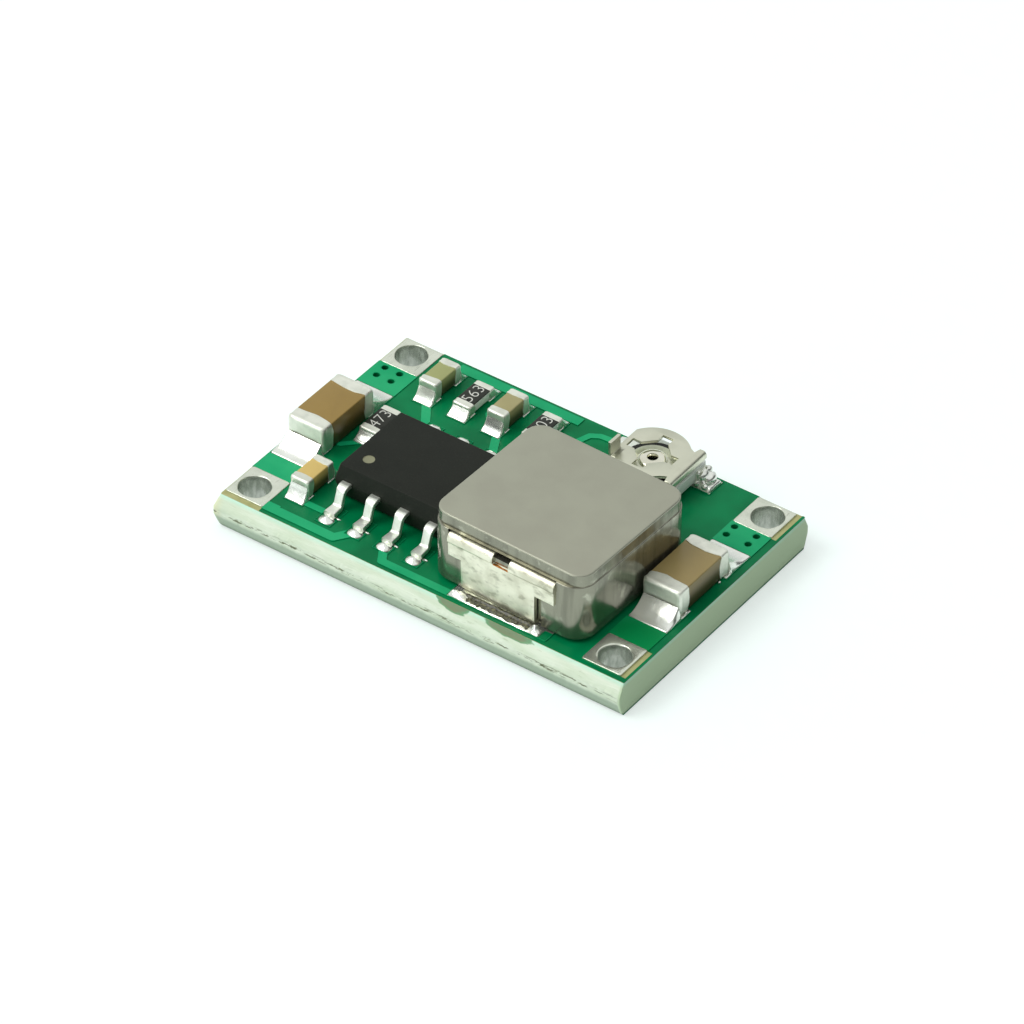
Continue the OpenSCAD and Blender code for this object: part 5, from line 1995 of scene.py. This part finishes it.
def print_digits(name: str, digits: str, height: float, at: Point) -> None:
    """Prints plain digits that read along +Y.

    Args:
        name: the piece's name.
        digits: the digits.
        height: height of a digit.
        at: middle of the print, on the surface.
    """
    curve = bpy.data.curves.new(name, "FONT")
    curve.body = digits
    curve.align_x, curve.align_y = "CENTER", "CENTER"
    curve.size = height * 1.35 * MM
    curve.space_character = 1.02
    curve.extrude = 0.002 * MM
    curve.offset = -0.011 * MM
    curve.resolution_u = 4
    made = evaluated(helper(name + "_text", curve))
    place = Matrix.Translation(Vector(at) * MM) @ Matrix.Rotation(pi / 2, 4, "Z")
    made.transform(place)
    Piece(name, Finishes.INK, "resistor_glass").from_mesh(made)


# ---------- the trimmer ----------


@dataclass
class Trimmer:
    """The turnable trimmer: ceramic base, bent terminals, rivet and folded rotor."""

    sheet: float = 0.12
    foot_t: float = 0.1
    term_in: float = 0.45
    term_out: float = 0.42
    term_w: float = 0.7
    term_h: float = 0.4
    rotor_r: float = 1.38
    flat: float = 1.19
    fold: float = 1.56
    fold_w: float = 2.1
    flange_w: float = 2.24
    flange_h: float = 0.2
    tongue: float = 1.0
    slot_l: float = 1.98
    slot_w: float = 0.44
    slot_d: float = 1.22
    stop_w: float = 0.62
    rivet_r: float = 0.35
    head_r: float = 0.52
    bore_r: float = 0.16
    rivet_top: float = 2.46
    wiper_w: float = 0.8
    track_r: float = 0.98

    def __post_init__(self) -> None:
        """Reads the boxes of the trimmer."""
        self.base = Box.of("trim_base")
        self.x, self.y, _ = self.base.mid
        self.rotor = Box.of("trim_rotor")
        self.stop_top = self.rotor.hi[2]
        self.low = Box.of("trim_track").hi[2] + 0.03
        self.ends = Box.of("trim_end_terminals")
        self.wiper = Box.of("trim_wiper_terminal")
        self.eyelet = Box.of("trim_eyelet")
        self.top = self.low + 0.5

    def ceramic(self) -> None:
        """Makes the base with the rivet's hole."""
        size, mid = self.base.size, self.base.mid
        soft = 0.07
        lower, upper = eased(self.base.lo[2], self.base.hi[2], soft, 4)
        block = stacked(size[:2], mid[:2], lower + upper, lambda inset: 0.26 - inset, (8, 4))
        mesh = carved(block, [drill(self.rivet_r, mid)], 30.0)
        Piece("trimmer_base", Finishes.ALUMINA, "ceramic_white", ["trim_base"]).from_mesh(mesh)

    def terminals(self) -> None:
        """Makes the two end terminals, turned up against the base, and the wiper's strip."""
        whole = Shape()
        t = self.foot_t
        z = self.ends.lo[2] + t / 2
        y = self.ends.mid[1]
        for side in Side:
            sign = side.value
            place = placed(self.x, y, sign)
            half = self.base.size[0] / 2
            foot = [(half - self.term_in, z), (half + self.term_out, z)]
            whole.join(strip(foot, self.term_w, t, place))
            out, low, high = half + t / 2, z + 0.004, z + self.term_h + t / 2
            flap = bent([(half + self.term_out * 0.7, low), (out, low), (out, high)], (0.07,))
            whole.join(strip(flap, self.term_w - 0.06, t, place))
        nodes = ["trim_end_terminals"]
        Piece("trimmer_end_terminals", Finishes.PLATED, "tinned_metal", nodes).from_shape(whole)
        reach = self.y - self.wiper.lo[1]
        z = self.wiper.lo[2] + t / 2
        line = [(-self.wiper_w / 2 + 0.05, z), (0.0, z), (reach * 0.5, z), (reach, z)]
        shape = strip(line, self.wiper_w, t, lambda u, w, up: (self.x + w, self.y - u, up))
        mesh = carved(shape, [drill(self.bore_r, (self.x, self.y, z), 40)], 35.0)
        nodes = ["trim_wiper_terminal"]
        Piece("trimmer_wiper_terminal", Finishes.PLATED, "tinned_metal", nodes).from_mesh(mesh)

    def rivet(self) -> None:
        """Makes the tubular rivet with its rolled head."""
        low, high = self.eyelet.lo[2], self.rivet_top
        seat = self.low + self.sheet + 0.005
        bore = self.bore_r
        profile = [(bore, low), (bore, high - 0.16), (bore + 0.01, high - 0.07)]
        profile += [(bore + 0.045, high - 0.012), (bore + 0.09, high)]
        drop = high - seat
        for k in range(1, 9):
            turn = pi / 2 * k / 8
            r = bore + 0.09 + (self.head_r - bore - 0.09) * sin(turn)
            profile.append((r, high - (drop - 0.05) * (1 - cos(turn))))
        profile += [(self.head_r, seat + 0.02), (self.head_r - 0.02, seat)]
        profile += [(self.rivet_r, seat), (self.rivet_r, low)]
        shape = lathe(profile, (self.x, self.y, 0.0), 80)
        made = Piece("trimmer_rivet", Finishes.RIVET, "tinned_metal", ["trim_eyelet"])
        made.from_shape(shape, 35.0)

    def leaf(self, upper: bool) -> Mesh:
        """Makes one leaf of the rotor from its outline and hole.

        Args:
            upper: the leaf that the driver turns; otherwise the lower one.

        Returns:
            The mesh.
        """
        rf = (self.top - self.low) / 2
        if upper:
            rim = self.upper_rim(self.fold - rf)
            hole = self.cross()
            mid = self.top - self.sheet / 2
        else:
            rim = self.lower_rim(self.fold - rf)
            hole = arc(self.rivet_r + 0.03, 0, 360, 40)[:-1]
            mid = self.low + self.sheet / 2
        return sheet_metal([rim, hole], self.sheet, 0.02, (self.x, self.y, mid))

    def upper_rim(self, straight: float) -> list[Flat]:
        """Outline of the upper leaf: a disc cut flat at -X and squared out at +X."""
        half = self.fold_w / 2
        r = self.rotor_r
        join = degrees(asin(half / r))
        flat = degrees(acos(self.flat / r))
        # relief notches free the flange from the disc
        relief = [(straight - x, half - y) for x, y in ((0.05, 0.0), (0.1, 0.2), (0.3, 0.1))]
        points = [(straight, -half), (straight, half), *relief]
        points += arc(r, join + 2, 180 - flat, 40) + arc(r, 180 + flat, 358 - join, 40)
        return points + [(x, -y) for x, y in reversed(relief)]

    def lower_rim(self, straight: float) -> list[Flat]:
        """Outline of the lower leaf: a small disc with a tongue to the fold."""
        r, half = self.rotor_r * 0.62, self.tongue / 2
        join = degrees(asin(half / r))
        return [(straight, -half), (straight, half), *arc(r, join, 360 - join, 48)]

    def cross(self) -> list[Flat]:
        """Outline of the driver's cross with the square opening behind it."""
        a, w = self.slot_l / 2, self.slot_w / 2
        d = self.slot_d / sqrt(2)
        quarter = [(a, -w), (a, w), (d - w, w), (w, d - w)]
        points = []
        for k in range(4):
            c, s = cos(pi / 2 * k), sin(pi / 2 * k)
            points += [(c * x - s * y, s * x + c * y) for x, y in quarter]
        return points

    def turning(self) -> None:
        """Makes the rotor: two leaves, the fold, the flange, the stop tab and the dimple."""
        rf = (self.top - self.low) / 2
        mid = self.low + rf
        r = rf - self.sheet / 2
        start = self.fold - rf
        inner = start - 0.14
        place = placed(self.x, self.y)
        turns = [pi / 2 - pi * k / 20 for k in range(21)]
        line = [(inner - 0.2, mid + r - 0.01)]
        line += [(inner + r * cos(t), mid + r * sin(t)) for t in turns]
        line.append((inner - 0.2, mid - r))
        whole = strip(line, self.tongue, self.sheet, place, 0.02)
        lip = self.fold - self.sheet / 2
        level = self.top - self.sheet / 2
        flange = bent(
            [(start - 0.03, level), (lip, level + 0.012), (lip + 0.01, level - self.flange_h)],
            (0.1,),
        )
        whole.join(strip(flange, self.flange_w, self.sheet, place, 0.03))
        stop_y = -self.rotor_r * 0.55
        flat = -self.flat + self.sheet / 2
        tab = bent([(0.25, level), (0.0, level), (0.0, self.stop_top)], (0.08,))
        stop = placed(self.x + flat, self.y + stop_y)
        whole.join(strip(tab, self.stop_w, self.sheet, stop, 0.02))
        touch = (self.x + self.track_r, self.y, self.low)
        whole.join(bead(touch, (0.15, 0.15, 0.028), 0.0, 10))
        mesh = to_mesh("rotor", whole, 40.0)
        with editing(mesh) as bm:
            for part in (self.leaf(True), self.leaf(False)):
                bm.from_mesh(part)
            shade(bm, 40.0)
        Piece("trimmer_rotor", Finishes.SPRING, "spring_metal", ["trim_rotor"], ROTOR).from_mesh(
            mesh
        )

    def joints(self) -> None:
        """Makes the trimmer's solder: three pools, their slopes and some loose beads."""
        box = Box.of("trim_solder")
        base = box.lo[2]
        whole = Shape()
        y = self.ends.mid[1]
        half = self.base.size[0] / 2
        for side in Side:
            sign = side.value
            outer = box.end(side, 0)
            low, high = sorted((outer, outer - sign * 0.97))

            def height(px: float, py: float) -> float:
                """Height at one end terminal."""
                out = sign * (px - self.x) - half
                if out < self.foot_t:
                    return 0.038
                side_fall = exp(-((max(abs(py - y) - 0.26, 0) / 0.1) ** 2))
                slope = 0.36 * exp(-((out - self.foot_t) / 0.22) ** 1.4)
                return 0.045 + (0.1 + slope) * side_fall + 0.02 * sheet_noise(px, py, 1.0, 0.16)

            pool = Pool((low, y - 0.425), (high, y + 0.425), base, 0.12, 0.08, 44)
            whole.join(pool.shape(height))

        def wiper(px: float, py: float) -> float:
            """Height at the wiper's strip."""
            end = self.wiper.lo[1]
            beyond = end - py
            across = max(abs(px - self.x) - self.wiper_w / 2 + 0.04, 0.0)
            if beyond < -0.02 and across < 0.02:
                return 0.038
            toe = 0.11 * exp(-((max(beyond, 0) / 0.12) ** 2)) if beyond > -0.02 else 0.05
            return 0.04 + toe * exp(-((across / 0.08) ** 2))

        pool = Pool((self.x - 0.5, box.lo[1]), (self.x + 0.5, box.lo[1] + 0.9), base, 0.1, 0.06)
        whole.join(pool.shape(wiper))
        seat = base + 0.04
        right = self.x + half
        for centre, reach in (
            ((right + 0.17, y - 0.04, seat + 0.35), (0.19, 0.3, 0.2)),
            ((right + 0.15, y + 0.27, seat + 0.42), (0.15, 0.16, 0.14)),
            ((right + 0.32, y + 0.08, seat + 0.24), (0.26, 0.32, 0.2)),
            ((right + 0.42, y - 0.33, seat + 0.1), (0.13, 0.12, 0.12)),
            ((right + 0.1, y - 0.38, seat + 0.16), (0.1, 0.1, 0.12)),
            ((right + 0.05, y - 0.2, seat + 0.48), (0.09, 0.12, 0.09)),
        ):
            whole.join(bead(centre, reach))
        solder("trimmer_solder", "trim_solder", whole)

    def dress(self) -> None:
        """Builds the trimmer; the resistive track keeps its solid."""
        self.ceramic()
        self.terminals()
        self.rivet()
        self.turning()
        self.joints()
        coat("trim_track", Finishes.CERMET)


def arc(radius: float, start_deg: float, end_deg: float, steps: int) -> list[Flat]:
    """Points on an arc round the origin, from a start to an end angle."""
    turns = [radians(start_deg + (end_deg - start_deg) * k / steps) for k in range(steps + 1)]
    return [(radius * cos(t), radius * sin(t)) for t in turns]


def sheet_metal(
    outlines: Sequence[Sequence[Flat]], thickness: float, edge: float, at: Point
) -> Mesh:
    """Cuts a flat sheet with holes and eased edges.

    Args:
        outlines: the rim and the holes, about the sheet's own centre.
        thickness: the sheet's thickness.
        edge: radius of its eased edges.
        at: where its centre goes.

    Returns:
        The mesh, in metres.
    """
    curve = bpy.data.curves.new("sheet", "CURVE")
    curve.dimensions, curve.fill_mode = "2D", "BOTH"
    for points in outlines:
        spline = curve.splines.new("POLY")
        spline.points.add(len(points) - 1)
        for point, (x, y) in zip(spline.points, points):
            point.co = (x * MM, y * MM, 0.0, 1.0)
        spline.use_cyclic_u = True
    curve.extrude = (thickness / 2 - edge) * MM
    curve.bevel_depth, curve.bevel_resolution = edge * MM, 1
    curve.offset = -edge * MM
    made = evaluated(helper("sheet", curve))
    made.transform(Matrix.Translation(Vector(at) * MM))
    with editing(made) as bm:
        weld(bm)
        bmesh.ops.recalc_face_normals(bm, faces=bm.faces)
    return made


# ---------- the studio ----------


@dataclass(frozen=True)
class Viewpoint:
    """The camera: a long lens that looks down on the board from its front right."""

    azimuth_deg: float = 35.717
    elevation_deg: float = 39.412
    roll_deg: float = 0.268
    distance: float = 247.677
    shift: Flat = (0.04, -0.369)
    target: Point = (-0.02, 0.08, 1.5)
    sensor: float = 36.0
    focal: float = 246.33

    def build(self) -> None:
        """Makes the camera and looks through it."""
        a, e, r = (radians(d) for d in (self.azimuth_deg, self.elevation_deg, self.roll_deg))
        level = Vector((cos(a), sin(a), 0.0))
        back = Vector((sin(a) * cos(e), -cos(a) * cos(e), sin(e)))
        upright = back.cross(level)
        right = level * cos(r) + upright * sin(r)
        up = upright * cos(r) - level * sin(r)
        place = Vector(self.target) + back * self.distance
        place += right * self.shift[0] + up * self.shift[1]
        data = bpy.data.cameras.new("camera")
        data.sensor_width, data.lens = self.sensor, self.focal
        data.clip_start, data.clip_end = 0.01, 10.0
        camera = bpy.data.objects.new("camera", data)
        turn = Matrix((right, up, back)).transposed().to_4x4()
        camera.matrix_world = Matrix.Translation(place * MM) @ turn
        bpy.context.scene.collection.objects.link(camera)
        bpy.context.scene.camera = camera


@dataclass(frozen=True)
class Lamp:
    """A soft rectangular lamp aimed at the board."""

    name: str
    place: Point
    size: Flat
    watts: float
    colour: str = "#ffffff"

    def build(self) -> None:
        """Makes the lamp."""
        data = bpy.data.lights.new(self.name, "AREA")
        data.shape = "RECTANGLE"
        data.size, data.size_y = (s * MM for s in self.size)
        data.energy = self.watts
        data.color = linear(self.colour)[:3]
        lamp = bpy.data.objects.new(self.name, data)
        lamp.location = Vector(self.place) * MM
        lamp.rotation_mode = "QUATERNION"
        lamp.rotation_quaternion = Vector(self.place).to_track_quat("Z", "Y")
        bpy.context.scene.collection.objects.link(lamp)


@dataclass(frozen=True)
class Studio:
    """White tent, open on the right: a bright sky, a key lamp at the front left, a floor."""

    sky: str = "#fbfdfc"
    horizon: str = "#d3dad8"
    open_side: str = "#4a4f4c"
    sky_strength: float = 0.86
    floor_size: float = 4000.0
    gap: float = 0.012
    lamps: tuple[Lamp, ...] = (
        Lamp("key", (-240.0, -230.0, 400.0), (260.0, 260.0), 0.95, "#fffefa"),
        Lamp("front", (-60.0, -430.0, 160.0), (300.0, 160.0), 0.3, "#f8fffc"),
    )

    def clear(self) -> None:
        """Removes what is neither a solid nor a body."""
        kept = set(frame["nodes"].values()) | set(frame["bodies"].values())
        for item in [o for o in bpy.data.objects if o not in kept]:
            bpy.data.objects.remove(item)

    def build(self) -> None:
        """Makes the world, the lamps and the floor."""
        scene = bpy.context.scene
        scene.view_settings.view_transform = "Standard"
        world = bpy.data.worlds.new("tent")
        world.use_nodes = True
        scene.world = world
        tree = world.node_tree
        tree.nodes.clear()
        art = Artwork(tree, add(tree, "ShaderNodeTexCoord").outputs["Generated"])
        ray = [art.axis(k) for k in range(3)]
        tone = art.mix(art.step(ray[2], -0.05, 0.6), self.horizon, self.sky)
        dark = art.times(art.step(ray[0], 0.0, 0.5), art.step(ray[2], 0.8, 0.45))
        tone = art.mix(dark, tone, self.open_side)
        sky = add(tree, "ShaderNodeBackground", {"Color": tone, "Strength": self.sky_strength})
        add(tree, "ShaderNodeOutputWorld", {"Surface": sky.outputs[0]})
        for lamp in self.lamps:
            lamp.build()
        half = self.floor_size / 2
        floor = to_mesh(
            "floor",
            Shape(
                [(x, y, -self.gap) for x, y in outline(2 * half, 2 * half, 0.1, 1, 1)],
                [tuple(range(8))],
            ),
            30.0,
        )
        floor.materials.append(Finishes.PAPER.material())
        made = bpy.data.objects.new("floor", floor)
        scene.collection.objects.link(made)


def capacitor(key: str, ceramic: Finish, slot: str, rise: float, seed: float) -> Chip:
    """One of the three small capacitors."""
    return Chip(key, ceramic, slot, 0.31, 0.72, rise, 0.33, end_r=0.1, seed=seed)


def resistor(key: str, digits: str, seed: float) -> Chip:
    """One of the three thick-film resistors."""
    made = Chip(key, Finishes.ALUMINA, "ceramic_white", 0.3, 0.72, 0.28, 0.33, end_r=0.08)
    made.digits, made.seed = digits, seed
    return made


def chips() -> list[Chip]:
    """The five capacitors and three resistors, each with its own ceramic."""
    return [
        Chip(
            "cin",
            Finishes.CIN,
            "ceramic_brown",
            0.5,
            1.5,
            0.52,
            hollow=1.7,
            edge_r=0.11,
            bow=0.11,
            seed=1.0,
        ),
        Chip(
            "cout",
            Finishes.COUT,
            "ceramic_brown",
            0.5,
            1.5,
            0.48,
            hollow=2.0,
            edge_r=0.1,
            bow=0.1,
            seed=2.0,
            drops=(
                ((8.49, -1.3, 1.52), (0.06, 0.07, 0.06)), ((8.47, 0.75, 1.52), (0.05, 0.06, 0.05))
            ),
        ),
        capacitor("cboot", Finishes.CBOOT, "ceramic_golden", 0.5, 3.0),
        capacitor("ccomp", Finishes.CCOMP, "ceramic_olive", 0.46, 4.0),
        capacitor("cfilt", Finishes.CFILT, "ceramic_tan", 0.46, 5.0),
        resistor("ren", "473", 6.0),
        resistor("rcomp", "563", 7.0),
        resistor("rfb", "303", 8.0),
    ]


def main() -> None:
    """Builds the module piece by piece, then the studio."""
    logging.basicConfig(level=logging.INFO, format="%(name)s: %(message)s")
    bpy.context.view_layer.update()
    studio = Studio()
    studio.clear()
    Viewpoint().build()
    for assembly in (Board(), Regulator(), Inductor(), *chips(), Trimmer()):
        assembly.dress()
    studio.build()


if __name__ == "__main__":
    main()
